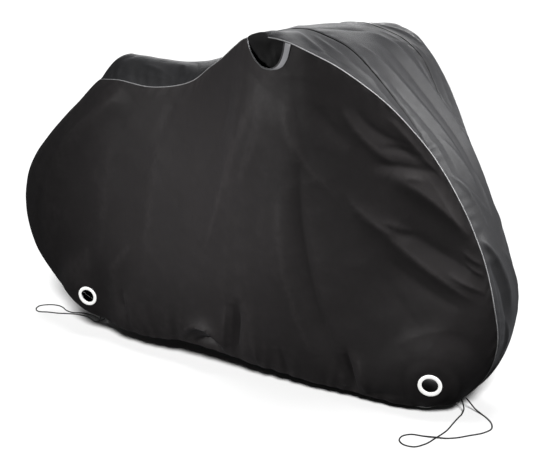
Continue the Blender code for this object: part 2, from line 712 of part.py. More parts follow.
def build_vent_pocket(side, carrier):
    """The cloth behind the U: it hangs from the piping and falls away from the side panel."""
    across = np.linspace(-1, 1, 11)
    drop = np.linspace(0, 1, 8)
    station = (VENT_STATION + VENT_HALF * POCKET_SPREAD * across)[:, None] + 0 * drop
    height = under_piping(station) - POCKET_HANG - POCKET_DROP * (1 - drop)
    share = 1 - drop
    hollow = (1 - np.abs(across) ** 3)[:, None] * np.sin(math.pi * np.clip(share * 0.62, 0, 1)) ** 1.3
    depth = POCKET_SETBACK + POCKET_DEPTH * hollow
    wall, outward = draped_wall(side, station, height)
    grid = wall - outward * depth[..., None]
    points, faces = sheet(grid, grid_normal(grid), CLOTH)
    add_mesh(f"vent_pocket_{side}", points, faces, POCKET_NYLON, carrier, side == "left")


def build_cord(end, carrier):
    route = np.array(CORD_ROUTES[end])
    length = np.concatenate([[0], np.cumsum(np.linalg.norm(np.diff(route, axis=0), axis=1))])
    places = np.linspace(0, length[-1], CORD_POINTS[end])
    points = smooth(length, route, places)
    points[:, 2] = np.maximum(points[:, 2], CORD_RADIUS)
    tube(f"cord_{end}", points, CORD_RADIUS, CORD_BLACK, carrier, 2)


def clear_scene():
    for item in list(bpy.data.objects):
        bpy.data.objects.remove(item, do_unlink=True)


def main():
    clear_scene()
    carrier = bpy.data.objects.new("bicycle_frame", None)
    carrier.location = (-HOLD_X, 0.0, -HOLD_Z)
    bpy.context.scene.collection.objects.link(carrier)
    build_centre_strip(carrier)
    for side in ("right", "left"):
        build_side_panel(side, carrier)
        build_gusset(side, carrier)
        build_piping(side, carrier)
        build_vent_tape(side, carrier)
        build_vent_pocket(side, carrier)
        for which in EYELETS:
            build_eyelet(side, which, carrier)
    for end in CORD_ROUTES:
        build_cord(end, carrier)


main()
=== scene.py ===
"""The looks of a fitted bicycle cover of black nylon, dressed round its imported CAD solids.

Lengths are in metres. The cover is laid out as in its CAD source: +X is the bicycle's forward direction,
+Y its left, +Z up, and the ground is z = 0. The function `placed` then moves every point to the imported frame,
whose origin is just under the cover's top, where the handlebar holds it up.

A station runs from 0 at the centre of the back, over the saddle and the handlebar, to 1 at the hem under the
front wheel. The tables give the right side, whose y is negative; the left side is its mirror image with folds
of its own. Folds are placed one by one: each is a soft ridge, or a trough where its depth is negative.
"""

import math

import bpy
import numpy as np
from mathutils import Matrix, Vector, noise


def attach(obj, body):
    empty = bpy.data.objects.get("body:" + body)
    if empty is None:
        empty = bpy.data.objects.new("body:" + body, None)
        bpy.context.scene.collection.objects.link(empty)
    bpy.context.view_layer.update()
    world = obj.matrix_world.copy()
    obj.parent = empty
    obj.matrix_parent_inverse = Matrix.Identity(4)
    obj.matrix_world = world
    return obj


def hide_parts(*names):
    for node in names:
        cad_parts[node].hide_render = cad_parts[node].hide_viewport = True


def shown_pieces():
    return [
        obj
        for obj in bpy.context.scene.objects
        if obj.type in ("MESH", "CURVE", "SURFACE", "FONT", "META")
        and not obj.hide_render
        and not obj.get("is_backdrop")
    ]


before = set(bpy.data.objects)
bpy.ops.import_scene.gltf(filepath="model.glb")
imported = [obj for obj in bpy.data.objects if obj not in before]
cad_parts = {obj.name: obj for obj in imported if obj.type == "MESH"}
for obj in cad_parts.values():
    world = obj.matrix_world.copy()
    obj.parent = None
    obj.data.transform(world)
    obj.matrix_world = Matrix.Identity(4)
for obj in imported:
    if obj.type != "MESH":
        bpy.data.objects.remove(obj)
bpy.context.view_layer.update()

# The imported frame's origin, in the frame that the tables use.
HOLD = np.array((0.300, 0.0, 1.088))

# Cloth, trim and cord sizes.
CLOTH = 0.0016
TAPE = 0.0010
PIPING_RADIUS = 0.0014
PIPING_END = 0.001
CORD_RADIUS = 0.0021
HEM_ROLL = 0.0042
SEAM_GAP = 0.0008

# The cloth's edge at the back seam: its y on the right side.
BACK_EDGE = -SEAM_GAP / 2 - 0.0004

# How close each cloth's edge comes to the piping's centre line, and to the seam beside a gusset.
PIPING_ROOM = 0.0015
SEAM_ROOM = 0.0005

# Seeds of the noise in each kind of piece, on the right side and the left. The strip is one piece for both.
SEEDS = {
    "panel": (0.0, 7.0),
    "hem": (1.0, 2.0),
    "panel seam": (4.0, 5.0),
    "strip": (13.0, 13.0),
    "strip seam": (21.0, 22.0),
    "gusset": (31.0, 37.0),
    "gusset seam": (41.0, 47.0),
    "piping": (51.0, 57.0),
    "dark seam": (71.0, 77.0),
}


def seed_of(kind, side):
    return SEEDS[kind][side == "left"]


def table(columns, rows):
    """A short table: one array for each named column."""
    values = np.array(rows, float)
    return {name: values[:, i] for i, name in enumerate(columns.split())}


# The seam that carries the piping, round the top of each side panel.
PIPING = table("station x y z", [
    (0.000, -0.578, 0.000, 0.888),
    (0.024, -0.562, -0.054, 0.892),
    (0.053, -0.499, -0.085, 0.898),
    (0.075, -0.448, -0.100, 0.901),
    (0.131, -0.318, -0.105, 0.888),
    (0.175, -0.212, -0.108, 0.898),
    (0.208, -0.137, -0.120, 0.919),
    (0.253, -0.048, -0.150, 0.969),
    (0.283, 0.010, -0.180, 0.996),
    (0.332, 0.101, -0.235, 1.045),
    (0.380, 0.191, -0.300, 1.077),
    (0.412, 0.258, -0.325, 1.083),
    (0.445, 0.333, -0.340, 1.076),
    (0.469, 0.384, -0.336, 1.058),
    (0.514, 0.465, -0.288, 1.009),
    (0.567, 0.548, -0.227, 0.937),
    (0.613, 0.612, -0.177, 0.862),
    (0.662, 0.673, -0.132, 0.773),
    (0.729, 0.751, -0.101, 0.639),
    (0.804, 0.824, -0.089, 0.477),
    (0.853, 0.854, -0.086, 0.364),
    (0.902, 0.860, -0.058, 0.239),
    (0.939, 0.833, -0.037, 0.149),
    (0.977, 0.788, -0.033, 0.081),
    (1.000, 0.757, -0.030, 0.051),
])

# The seam between the centre strip and a gusset. It meets the piping at the gusset's two tips.
STRIP_SEAM = table("station x y z", [
    (0.205, -0.143, -0.118, 0.917),
    (0.253, -0.048, -0.130, 0.974),
    (0.283, 0.011, -0.140, 1.003),
    (0.332, 0.103, -0.152, 1.051),
    (0.380, 0.193, -0.160, 1.085),
    (0.412, 0.258, -0.163, 1.096),
    (0.445, 0.322, -0.165, 1.092),
    (0.469, 0.378, -0.168, 1.075),
    (0.492, 0.422, -0.170, 1.058),
    (0.514, 0.460, -0.170, 1.034),
    (0.540, 0.504, -0.166, 0.993),
    (0.567, 0.541, -0.147, 0.944),
    (0.590, 0.567, -0.133, 0.905),
    (0.613, 0.596, -0.126, 0.868),
    (0.637, 0.634, -0.127, 0.822),
    (0.660, 0.671, -0.1325, 0.776),
])

# The centre line of the strip, y = 0.
CROWN = table("station x z", [
    (0.024, -0.578, 0.888),
    (0.036, -0.560, 0.920),
    (0.050, -0.537, 0.948),
    (0.068, -0.500, 0.971),
    (0.090, -0.455, 0.974),
    (0.131, -0.365, 0.966),
    (0.175, -0.248, 0.959),
    (0.208, -0.165, 0.967),
    (0.253, -0.062, 0.994),
    (0.283, 0.004, 1.018),
    (0.332, 0.100, 1.058),
    (0.380, 0.193, 1.087),
    (0.412, 0.258, 1.096),
    (0.445, 0.326, 1.092),
    (0.469, 0.384, 1.075),
    (0.514, 0.466, 1.034),
    (0.567, 0.552, 0.947),
    (0.613, 0.618, 0.872),
    (0.662, 0.689, 0.783),
    (0.729, 0.767, 0.647),
    (0.804, 0.841, 0.480),
    (0.853, 0.872, 0.366),
    (0.902, 0.866, 0.239),
    (0.939, 0.826, 0.147),
    (0.977, 0.780, 0.081),
    (1.000, 0.751, 0.049),
])

# The strip's section falls away from its crown with this power of the distance across.
STRIP_ROUNDNESS = 2.2

# The stations of each gusset's two tips, where it is still wide enough to have two edges.
GUSSET_TIPS = (0.217, 0.6555)

# A rise in each gusset where the bar's end pushes up from inside, by its station and height. Elsewhere the
# cloth sags by a share of its width.
GUSSET_RISE = {"right": (0.412, 0.016), "left": (0.447, 0.010)}
GUSSET_RISE_REACH = 0.028
GUSSET_SAG = 0.035

# The gathered hem. The tuck is how far the cloth above it stands out past the straight line up to the piping.
HEM = table("station x y z tuck", [
    (0.000, -0.622, 0.000, 0.078, 0.000),
    (0.024, -0.616, -0.050, 0.078, 0.002),
    (0.053, -0.597, -0.083, 0.077, 0.005),
    (0.075, -0.573, -0.100, 0.073, 0.008),
    (0.131, -0.486, -0.121, 0.063, 0.016),
    (0.175, -0.405, -0.131, 0.060, 0.022),
    (0.208, -0.345, -0.137, 0.059, 0.026),
    (0.253, -0.262, -0.141, 0.063, 0.027),
    (0.283, -0.195, -0.144, 0.072, 0.027),
    (0.332, -0.092, -0.146, 0.069, 0.026),
    (0.380, -0.002, -0.146, 0.060, 0.026),
    (0.412, 0.058, -0.146, 0.054, 0.026),
    (0.445, 0.120, -0.146, 0.049, 0.026),
    (0.469, 0.163, -0.146, 0.047, 0.026),
    (0.514, 0.248, -0.145, 0.040, 0.026),
    (0.567, 0.343, -0.142, 0.034, 0.028),
    (0.613, 0.423, -0.138, 0.030, 0.030),
    (0.662, 0.504, -0.135, 0.026, 0.032),
    (0.729, 0.598, -0.129, 0.022, 0.034),
    (0.804, 0.675, -0.117, 0.026, 0.034),
    (0.853, 0.708, -0.101, 0.029, 0.029),
    (0.902, 0.729, -0.083, 0.034, 0.020),
    (0.939, 0.740, -0.065, 0.039, 0.012),
    (0.977, 0.747, -0.045, 0.045, 0.004),
    (1.000, 0.749, -0.034, 0.048, 0.000),
])

# The seam down the centre of the back, where the side panels meet round the rear wheel.
BACK_SEAM = table("x z", [
    (-0.622, 0.078),
    (-0.684, 0.090),
    (-0.758, 0.128),
    (-0.842, 0.194),
    (-0.915, 0.280),
    (-0.950, 0.370),
    (-0.956, 0.450),
    (-0.936, 0.530),
    (-0.888, 0.610),
    (-0.833, 0.669),
    (-0.745, 0.750),
    (-0.664, 0.817),
    (-0.610, 0.865),
    (-0.578, 0.888),
])

# The station up to which the back's shape reaches round the sides, and the tuck's rise and fall up the side.
BACK_REACH = 0.30
TUCK_RISE = 0.06
TUCK_FALL = 1.2

# Folds of the side panels. Each runs from (x0, z0) through (xm, zm) to (x1, z1), seen from the side. A fold
# whose skew is above 0 is wider on the left of its run, looking along it, and steeper on the right.
FOLD_COLUMNS = "x0 z0 xm zm x1 z1 width depth skew"
RIGHT_FOLDS = table(FOLD_COLUMNS, [
    # Over the rear wheel and under the saddle.
    (-0.425, 0.880, -0.512, 0.806, -0.700, 0.668, 0.040, 0.014, 0.30),
    (-0.583, 0.330, -0.592, 0.270, -0.586, 0.215, 0.030, 0.005, 0.00),
    (-0.450, 0.750, -0.505, 0.500, -0.520, 0.250, 0.080, 0.005, 0.00),
    (-0.250, 0.840, -0.290, 0.560, -0.330, 0.250, 0.085, 0.006, 0.20),
    (-0.380, 0.860, -0.420, 0.780, -0.470, 0.700, 0.030, -0.003, 0.00),
    (-0.210, 0.865, -0.240, 0.790, -0.290, 0.690, 0.030, -0.004, 0.20),
    (-0.800, 0.520, -0.840, 0.420, -0.830, 0.300, 0.050, -0.004, 0.00),
    (-0.470, 0.240, -0.440, 0.300, -0.380, 0.370, 0.030, 0.004, 0.00),
    # The long folds that hang from the handlebar's end.
    (0.242, 0.954, 0.118, 0.748, -0.048, 0.405, 0.078, 0.018, 0.10),
    (0.346, 0.985, 0.354, 0.834, 0.385, 0.690, 0.046, -0.010, 0.00),
    (0.345, 0.745, 0.340, 0.430, 0.431, 0.078, 0.036, -0.016, -0.25),
    (0.262, 0.620, 0.268, 0.370, 0.330, 0.130, 0.052, 0.011, 0.20),
    (0.170, 0.620, 0.150, 0.370, 0.175, 0.130, 0.050, -0.007, 0.00),
    (0.230, 0.880, 0.190, 0.780, 0.130, 0.660, 0.024, 0.004, 0.30),
    (0.090, 0.930, 0.040, 0.800, -0.060, 0.640, 0.040, -0.006, 0.10),
    (0.310, 0.900, 0.330, 0.780, 0.420, 0.660, 0.030, 0.006, 0.20),
    (0.400, 0.905, 0.430, 0.850, 0.480, 0.800, 0.022, -0.005, 0.00),
    # The upper folds that run forward to the front wheel.
    (0.470, 0.893, 0.508, 0.815, 0.588, 0.742, 0.015, 0.0060, 0.35),
    (0.500, 0.893, 0.550, 0.830, 0.630, 0.800, 0.014, -0.0045, 0.00),
    (0.560, 0.790, 0.612, 0.781, 0.662, 0.746, 0.014, -0.0065, 0.00),
    (0.572, 0.874, 0.618, 0.815, 0.668, 0.744, 0.010, 0.0065, 0.20),
    (0.582, 0.884, 0.594, 0.872, 0.606, 0.856, 0.007, -0.0040, 0.00),
    (0.642, 0.762, 0.672, 0.741, 0.708, 0.698, 0.008, 0.0040, 0.30),
    (0.655, 0.744, 0.690, 0.716, 0.722, 0.672, 0.010, -0.0035, 0.00),
    (0.540, 0.745, 0.600, 0.737, 0.690, 0.722, 0.016, -0.0070, 0.00),
    # The broad bright fold, its dark underside and the long fold below it.
    (0.572, 0.714, 0.678, 0.642, 0.782, 0.548, 0.034, 0.0145, 0.28),
    (0.600, 0.706, 0.622, 0.705, 0.650, 0.700, 0.007, 0.0030, 0.20),
    (0.590, 0.568, 0.676, 0.510, 0.790, 0.452, 0.036, -0.0120, 0.00),
    (0.466, 0.642, 0.520, 0.573, 0.600, 0.540, 0.012, 0.0055, 0.35),
    (0.548, 0.580, 0.590, 0.562, 0.624, 0.553, 0.008, 0.0045, 0.30),
    (0.560, 0.561, 0.596, 0.541, 0.626, 0.536, 0.008, -0.0040, 0.00),
    (0.500, 0.602, 0.636, 0.470, 0.790, 0.376, 0.023, 0.0100, 0.30),
    (0.728, 0.440, 0.770, 0.416, 0.826, 0.396, 0.012, 0.0050, 0.30),
    (0.560, 0.470, 0.650, 0.400, 0.760, 0.345, 0.022, -0.0050, 0.00),
    (0.764, 0.505, 0.793, 0.483, 0.826, 0.474, 0.009, 0.0040, 0.30),
    (0.772, 0.474, 0.800, 0.453, 0.830, 0.444, 0.008, 0.0035, 0.30),
    (0.790, 0.540, 0.806, 0.522, 0.820, 0.515, 0.008, 0.0035, 0.30),
    (0.600, 0.220, 0.670, 0.262, 0.760, 0.280, 0.030, 0.0040, 0.00),
    (0.520, 0.470, 0.600, 0.340, 0.700, 0.240, 0.060, -0.0050, 0.00),
    # Where the hem's elastic gathers the foot.
    (0.440, 0.165, 0.450, 0.095, 0.462, 0.034, 0.016, -0.024, -0.30),
    (0.478, 0.150, 0.488, 0.090, 0.502, 0.040, 0.017, 0.009, 0.00),
    (0.074, 0.258, 0.060, 0.170, 0.040, 0.070, 0.019, -0.024, -0.20),
    (0.030, 0.250, 0.014, 0.170, -0.006, 0.085, 0.020, 0.006, 0.00),
    (-0.150, 0.116, -0.070, 0.148, -0.004, 0.090, 0.016, 0.020, 0.45),
    (-0.118, 0.084, -0.062, 0.102, -0.022, 0.074, 0.014, -0.024, 0.00),
    (-0.432, 0.205, -0.418, 0.145, -0.400, 0.082, 0.013, -0.011, -0.20),
    (-0.300, 0.180, -0.290, 0.120, -0.280, 0.075, 0.020, -0.004, 0.00),
    (0.500, 0.038, 0.559, 0.052, 0.615, 0.060, 0.017, -0.008, 0.00),
    (0.220, 0.140, 0.225, 0.090, 0.232, 0.050, 0.016, -0.006, 0.00),
    (0.120, 0.150, 0.122, 0.100, 0.128, 0.055, 0.016, 0.005, 0.00),
    (-0.200, 0.150, -0.196, 0.100, -0.188, 0.065, 0.016, -0.005, 0.00),
])
LEFT_FOLDS = table(FOLD_COLUMNS, [
    (-0.430, 0.865, -0.530, 0.785, -0.650, 0.680, 0.046, 0.008, 0.30),
    (-0.180, 0.820, -0.230, 0.560, -0.320, 0.280, 0.070, 0.008, 0.20),
    (-0.560, 0.420, -0.590, 0.320, -0.575, 0.220, 0.040, 0.005, 0.00),
    (-0.400, 0.780, -0.450, 0.560, -0.470, 0.360, 0.070, -0.005, 0.00),
    (-0.330, 0.850, -0.370, 0.770, -0.430, 0.690, 0.028, -0.004, 0.00),
    (0.250, 0.940, 0.170, 0.700, 0.010, 0.360, 0.074, 0.015, 0.10),
    (0.330, 0.820, 0.300, 0.500, 0.345, 0.090, 0.040, -0.014, 0.25),
    (0.360, 0.950, 0.370, 0.830, 0.400, 0.700, 0.040, -0.006, 0.00),
    (0.220, 0.640, 0.200, 0.400, 0.240, 0.140, 0.050, 0.008, 0.20),
    (0.090, 0.600, 0.060, 0.380, 0.090, 0.150, 0.046, -0.006, 0.00),
    (0.420, 0.900, 0.500, 0.740, 0.650, 0.610, 0.034, 0.012, 0.30),
    (0.520, 0.880, 0.580, 0.800, 0.680, 0.730, 0.022, 0.006, 0.30),
    (0.440, 0.665, 0.590, 0.520, 0.795, 0.425, 0.034, 0.014, 0.35),
    (0.500, 0.700, 0.620, 0.640, 0.760, 0.560, 0.028, -0.007, 0.00),
    (0.400, 0.560, 0.560, 0.400, 0.745, 0.295, 0.042, -0.009, 0.00),
    (0.640, 0.470, 0.730, 0.400, 0.810, 0.360, 0.018, 0.006, 0.30),
    (0.600, 0.230, 0.670, 0.250, 0.750, 0.240, 0.030, 0.004, 0.00),
    (0.300, 0.180, 0.308, 0.110, 0.300, 0.045, 0.020, -0.011, 0.20),
    (0.335, 0.160, 0.340, 0.100, 0.330, 0.045, 0.016, 0.006, 0.00),
    (-0.020, 0.265, -0.040, 0.170, -0.030, 0.080, 0.022, -0.012, 0.20),
    (-0.300, 0.215, -0.290, 0.140, -0.300, 0.075, 0.020, -0.009, 0.00),
    (-0.130, 0.150, -0.125, 0.110, -0.115, 0.070, 0.016, 0.005, 0.00),
    (0.540, 0.140, 0.550, 0.090, 0.545, 0.040, 0.016, -0.006, 0.00),
    (0.150, 0.150, 0.145, 0.100, 0.150, 0.060, 0.016, -0.005, 0.00),
])

# Folds of the strip: from (s0, t0) through (sm, tm) to (s1, t1), where s is the station and t runs from -1 at
# the right edge to 1 at the left.
TOP_COLUMNS = "s0 t0 sm tm s1 t1 width depth skew"
STRIP_FOLDS = table(TOP_COLUMNS, [
    # Down the front, from the bar's ends to the wheel.
    (0.505, -0.62, 0.600, -0.41, 0.722, -0.14, 0.013, 0.0075, -0.35),
    (0.520, -0.34, 0.610, -0.16, 0.700, -0.02, 0.014, -0.0045, 0.00),
    (0.500, -0.02, 0.600, 0.12, 0.745, 0.26, 0.020, -0.0060, 0.00),
    (0.470, 0.24, 0.585, 0.43, 0.760, 0.60, 0.024, 0.0150, -0.30),
    (0.520, 0.72, 0.610, 0.82, 0.720, 0.86, 0.016, -0.0070, 0.00),
    (0.470, 0.72, 0.560, 0.80, 0.680, 0.84, 0.013, 0.0050, 0.00),
    (0.560, -0.78, 0.620, -0.66, 0.690, -0.60, 0.010, -0.0040, 0.00),
    (0.600, -0.90, 0.650, -0.80, 0.700, -0.82, 0.008, 0.0030, 0.00),
    (0.650, -0.48, 0.682, -0.30, 0.716, -0.12, 0.009, 0.0050, -0.30),
    (0.690, -0.92, 0.722, -0.46, 0.748, -0.02, 0.010, 0.0060, -0.30),
    (0.698, -0.74, 0.730, -0.54, 0.764, -0.34, 0.009, 0.0050, -0.30),
    (0.700, 0.18, 0.728, 0.20, 0.762, 0.14, 0.009, 0.0050, 0.00),
    (0.776, -0.95, 0.806, -0.46, 0.862, -0.06, 0.018, 0.0140, 0.30),
    (0.806, -0.82, 0.846, -0.50, 0.905, -0.25, 0.024, -0.0120, 0.00),
    (0.796, 0.10, 0.836, 0.52, 0.890, 0.70, 0.012, 0.0070, 0.00),
    (0.870, -0.50, 0.895, -0.05, 0.925, 0.30, 0.012, 0.0050, 0.00),
    (0.745, 0.90, 0.775, 0.55, 0.800, 0.25, 0.011, 0.0050, 0.30),
    # Across the top, over the bar.
    (0.440, -0.80, 0.452, -0.20, 0.474, 0.45, 0.014, -0.004, 0.00),
    (0.400, -0.90, 0.396, -0.20, 0.404, 0.60, 0.030, 0.004, 0.00),
    (0.498, 0.50, 0.512, 0.74, 0.532, 0.94, 0.012, 0.004, 0.00),
    (0.330, -0.60, 0.350, -0.10, 0.360, 0.50, 0.040, -0.005, 0.00),
    (0.262, -0.70, 0.275, 0.00, 0.262, 0.70, 0.045, -0.004, 0.00),
    (0.300, -0.20, 0.350, -0.35, 0.400, -0.60, 0.018, 0.005, 0.20),
    (0.290, 0.30, 0.340, 0.45, 0.400, 0.60, 0.018, 0.005, -0.20),
    # Round the saddle.
    (0.116, -0.84, 0.146, -0.80, 0.176, -0.92, 0.012, 0.005, 0.00),
    (0.122, -0.50, 0.148, -0.62, 0.172, -0.82, 0.012, 0.005, 0.00),
    (0.176, -0.30, 0.190, -0.56, 0.196, -0.84, 0.014, 0.005, 0.20),
    (0.190, -0.10, 0.206, -0.40, 0.214, -0.80, 0.012, -0.004, 0.00),
    (0.118, 0.84, 0.142, 0.76, 0.170, 0.88, 0.012, 0.005, 0.00),
    (0.178, 0.30, 0.192, 0.56, 0.200, 0.84, 0.014, 0.005, -0.20),
    (0.060, -0.70, 0.085, -0.30, 0.100, 0.20, 0.018, -0.004, 0.00),
    (0.050, 0.60, 0.070, 0.30, 0.080, -0.10, 0.014, 0.003, 0.00),
])

# Folds of the gussets, where t runs from 0 at the strip's seam to 1 at the piping.
GUSSET_FOLDS = {
    "right": table(TOP_COLUMNS, [
        (0.428, 0.28, 0.465, 0.58, 0.508, 0.84, 0.012, 0.006, 0.30),
        (0.452, 0.18, 0.480, 0.36, 0.514, 0.44, 0.010, 0.005, 0.30),
        (0.506, 0.50, 0.530, 0.47, 0.558, 0.40, 0.011, 0.005, 0.00),
        (0.396, 0.20, 0.402, 0.55, 0.398, 0.90, 0.014, -0.005, 0.00),
        (0.372, 0.30, 0.366, 0.60, 0.352, 0.92, 0.014, 0.004, 0.00),
        (0.470, 0.80, 0.490, 0.70, 0.515, 0.66, 0.010, -0.004, 0.00),
        (0.330, 0.10, 0.320, 0.50, 0.300, 0.90, 0.014, -0.003, 0.00),
        (0.540, 0.30, 0.565, 0.60, 0.600, 0.80, 0.010, 0.004, 0.00),
    ]),
    "left": table(TOP_COLUMNS, [
        (0.440, 0.25, 0.470, 0.55, 0.500, 0.86, 0.012, 0.006, 0.30),
        (0.420, 0.20, 0.430, 0.55, 0.424, 0.90, 0.013, -0.005, 0.00),
        (0.390, 0.20, 0.384, 0.60, 0.370, 0.90, 0.014, 0.005, 0.00),
        (0.500, 0.20, 0.530, 0.42, 0.562, 0.52, 0.011, 0.005, 0.00),
        (0.340, 0.15, 0.330, 0.50, 0.315, 0.85, 0.014, -0.004, 0.00),
        (0.550, 0.70, 0.580, 0.55, 0.615, 0.50, 0.010, 0.004, 0.00),
    ]),
}

# The vent: a U cut into the top of each side panel at the handlebar's end. Its centre and half length are
# stations, and its depth is a share of the panel's height.
VENT_STATION = 0.412
VENT_HALF = 0.032
VENT_DEPTH = 0.080
VENT_SKEW = 0.35
VENT_ROUNDNESS = 2.2

# The pocket behind the U: how far behind the panel it hangs at its sides and in its middle, how far down as a
# share of the height, and how much wider than the U it is.
POCKET_SETBACK = 0.006
POCKET_DEPTH = 0.024
POCKET_DROP = 0.130
POCKET_SPREAD = 1.15

# The eyelets, at a station and a share of the height from the hem to the piping, and the way each one faces.
EYELETS = {
    "rear": (0.118, 0.154, (0.18, -0.96, -0.16)),
    "front": (0.792, 0.178, (0.30, -0.93, -0.17)),
}

# The cloth is flat round an eyelet, and leans with the eyelet's own tilt over a wider reach.
FLAT_RADIUS = 0.036
FLAT_BLEND = 0.050
TILT_BLEND = 0.140

# The hole in the cloth under a ring. Cells within the margin of it are cut, unless they are further than the
# depth from the ring's plane.
HOLE_RADIUS = 0.0268
HOLE_MARGIN = 0.001
HOLE_DEPTH = 0.02

# A ring's sides, the angle in degrees above which its edges stay sharp, and half of its profile: the other
# half mirrors it.
RING_TURNS = 112
RING_SHARP = 60
RING_PROFILE = table("radius height", [
    (0.02370, 0.0000), (0.02370, 0.0020), (0.02385, 0.0026), (0.02430, 0.0030), (0.02500, 0.0032),
    (0.02920, 0.0033), (0.03360, 0.0031), (0.03440, 0.0028), (0.03485, 0.0022), (0.03500, 0.0015),
    (0.03490, 0.0010), (0.02650, 0.0010),
])

# The draw cord's loops, from the hem to the ground and back.
CORD_ROUTES = {
    "front": [
        (0.7515, -0.035, 0.0448), (0.757, -0.036, 0.0320), (0.761, -0.036, 0.0150),
        (0.760, -0.054, 0.0016), (0.764, -0.122, 0.0016), (0.768, -0.174, 0.0016),
        (0.762, -0.233, 0.0016), (0.752, -0.290, 0.0016), (0.735, -0.318, 0.0016),
        (0.707, -0.321, 0.0016), (0.684, -0.303, 0.0016), (0.679, -0.270, 0.0016),
        (0.694, -0.250, 0.0016), (0.723, -0.243, 0.0020), (0.761, -0.237, 0.0052),
        (0.790, -0.220, 0.0022), (0.810, -0.203, 0.0016), (0.831, -0.175, 0.0016),
        (0.862, -0.130, 0.0016), (0.870, -0.098, 0.0016), (0.858, -0.064, 0.0016),
        (0.834, -0.036, 0.0016), (0.808, -0.016, 0.0030), (0.783, -0.008, 0.0120),
        (0.769, -0.012, 0.0290), (0.760, -0.019, 0.0430),
    ],
    "rear": [
        (-0.634, 0.012, 0.0620), (-0.640, 0.016, 0.0450), (-0.652, 0.022, 0.0180),
        (-0.682, 0.036, 0.0016), (-0.740, 0.058, 0.0016), (-0.790, 0.058, 0.0016),
        (-0.832, 0.042, 0.0016), (-0.866, 0.050, 0.0016), (-0.898, 0.068, 0.0016),
        (-0.930, 0.076, 0.0016), (-0.966, 0.064, 0.0016), (-0.986, 0.037, 0.0016),
        (-0.974, 0.004, 0.0016), (-0.942, -0.016, 0.0016), (-0.908, -0.003, 0.0016),
        (-0.866, 0.008, 0.0016), (-0.836, 0.022, 0.0016), (-0.795, 0.036, 0.0016),
        (-0.740, 0.034, 0.0016), (-0.690, 0.010, 0.0016), (-0.652, -0.006, 0.0180),
        (-0.640, -0.010, 0.0450), (-0.634, -0.011, 0.0620),
    ],
}
CORD_POINTS = {"front": 234, "rear": 180}

# Each piece's number of stations and of rows or places across, and the stations where it starts or stops.
PANEL_STATIONS = 330
PANEL_ROWS = 118
PANEL_END = 0.9965
STRIP_STATIONS = 400
STRIP_PLACES = 91
STRIP_SPAN = (0.027, 0.996)
GUSSET_STATIONS = 170
GUSSET_PLACES = 29
PIPING_STATIONS = 420
PIPING_STOP = 0.997
SEAM_STATIONS = 260

# The side panel's stations lie closest over the vent, where these steps give them in half lengths of the U.
# The others stay clear of them by the gap, and the weight is how closely they lie.
STATION_GAP = 0.001
VENT_STEPS = (-1.04, -1.0, -0.996, -0.985, -0.965, -0.93, -0.88, -0.81, -0.72, -0.6, -0.46, -0.3, -0.14, 0.02,
              0.18, 0.34, 0.5, 0.64, 0.76, 0.86, 0.925, 0.965, 0.985, 0.996, 1.0, 1.04)
STATION_WEIGHT = table("station weight", [
    (0, 1.0), (0.06, 0.9), (0.40, 0.9), (0.48, 1.5), (0.86, 1.6), (0.95, 1.0), (1, 1.0),
])

# The hem's roll, by its turn in degrees from inside to outside.
ROLL_TURN = (255, 225, 195, 165, 135, 105, 75, 50, 25)

# Stitches: their length, pitch, radius, sides and lift off the cloth. Each ring of a stitch is at a share of
# its length, and its size and rise are shares of the radius.
STITCH = 0.0034
STITCH_PITCH = 0.0058
STITCH_RADIUS = 0.00032
STITCH_SIDES = 5
STITCH_LIFT = 0.0002
STITCH_RINGS = ((-0.5, 0.45, -0.8), (-0.22, 1.0, 0.3), (0.22, 1.0, 0.3), (0.5, 0.45, -0.8))

# The strip's edge passes from the piping to a gusset's seam over the first of these lengths of station, and
# the groove beside the seam starts over the second.
SEAM_BLEND = 0.006
GROOVE_BLEND = 0.01

# The strip's folds die out over this share of its half width, and over this length of station at its rear.
STRIP_EDGE_EASE = 0.25
STRIP_REAR_EASE = 0.02

# A gusset's folds die out over this share of its width, and where it or the strip beside it is narrower than
# these widths. So does the groove.
GUSSET_EDGE_EASE = 0.2
GUSSET_NARROW = 0.06
STRIP_NARROW = 0.05
GROOVE_NARROW = 0.04
GUSSET_UNEVENNESS = 0.6

# A gusset is stitched where it is wider than this.
GUSSET_STITCHED = 0.02

# How far in from its edge each row of stitches runs.
HEM_STITCHES = 0.017
PANEL_STITCHES = 0.0065
EDGE_STITCHES = 0.006

# The row below the piping stops at this many half lengths from the vent's centre.
VENT_CLEAR = 1.1

# The cloth is drawn in beside the strip's dark seam, and a turned edge stands a little low in the seam: a tube
# of nylon painted dark, the painted shade in the seam.
GROOVE_DEPTH = 0.0034
GROOVE_WIDTH = 0.0050
SEAM_DROP = 0.0014
SEAM_RADIUS = 0.0021

# How the seam's edge and the piping stray from their course: over what length, and how far.
SEAM_SWAY = (0.045, 0.0016)
PIPING_SWAY = (0.09, 0.0009)

# Each cloth is painted paler along its sewn edges, where it is worn, over about this width, and on crests that
# stand this high, a painted highlight.
PIPING_RUB = 0.010
HEM_RUB = 0.012
SEAM_RUB = 0.008
CREST = 0.0004

# The tape round the U, from its rear leg to its front leg: its width, its set-back from the edge, and how
# bright its colour is painted there, a painted reflection that is strong on the legs and weak round the bottom.
TAPE_COURSE = table("turn width back bright", [
    (0.00, 0.0034, 0.0004, 1.00),
    (0.14, 0.0030, 0.0004, 0.90),
    (0.22, 0.0022, 0.0006, 0.25),
    (0.40, 0.0020, 0.0008, 0.12),
    (0.62, 0.0026, 0.0014, 0.15),
    (0.70, 0.0042, 0.0020, 0.28),
    (0.76, 0.0085, 0.0030, 0.75),
    (0.82, 0.0135, 0.0036, 1.00),
    (0.90, 0.0168, 0.0042, 1.00),
    (1.00, 0.0180, 0.0046, 1.00),
])

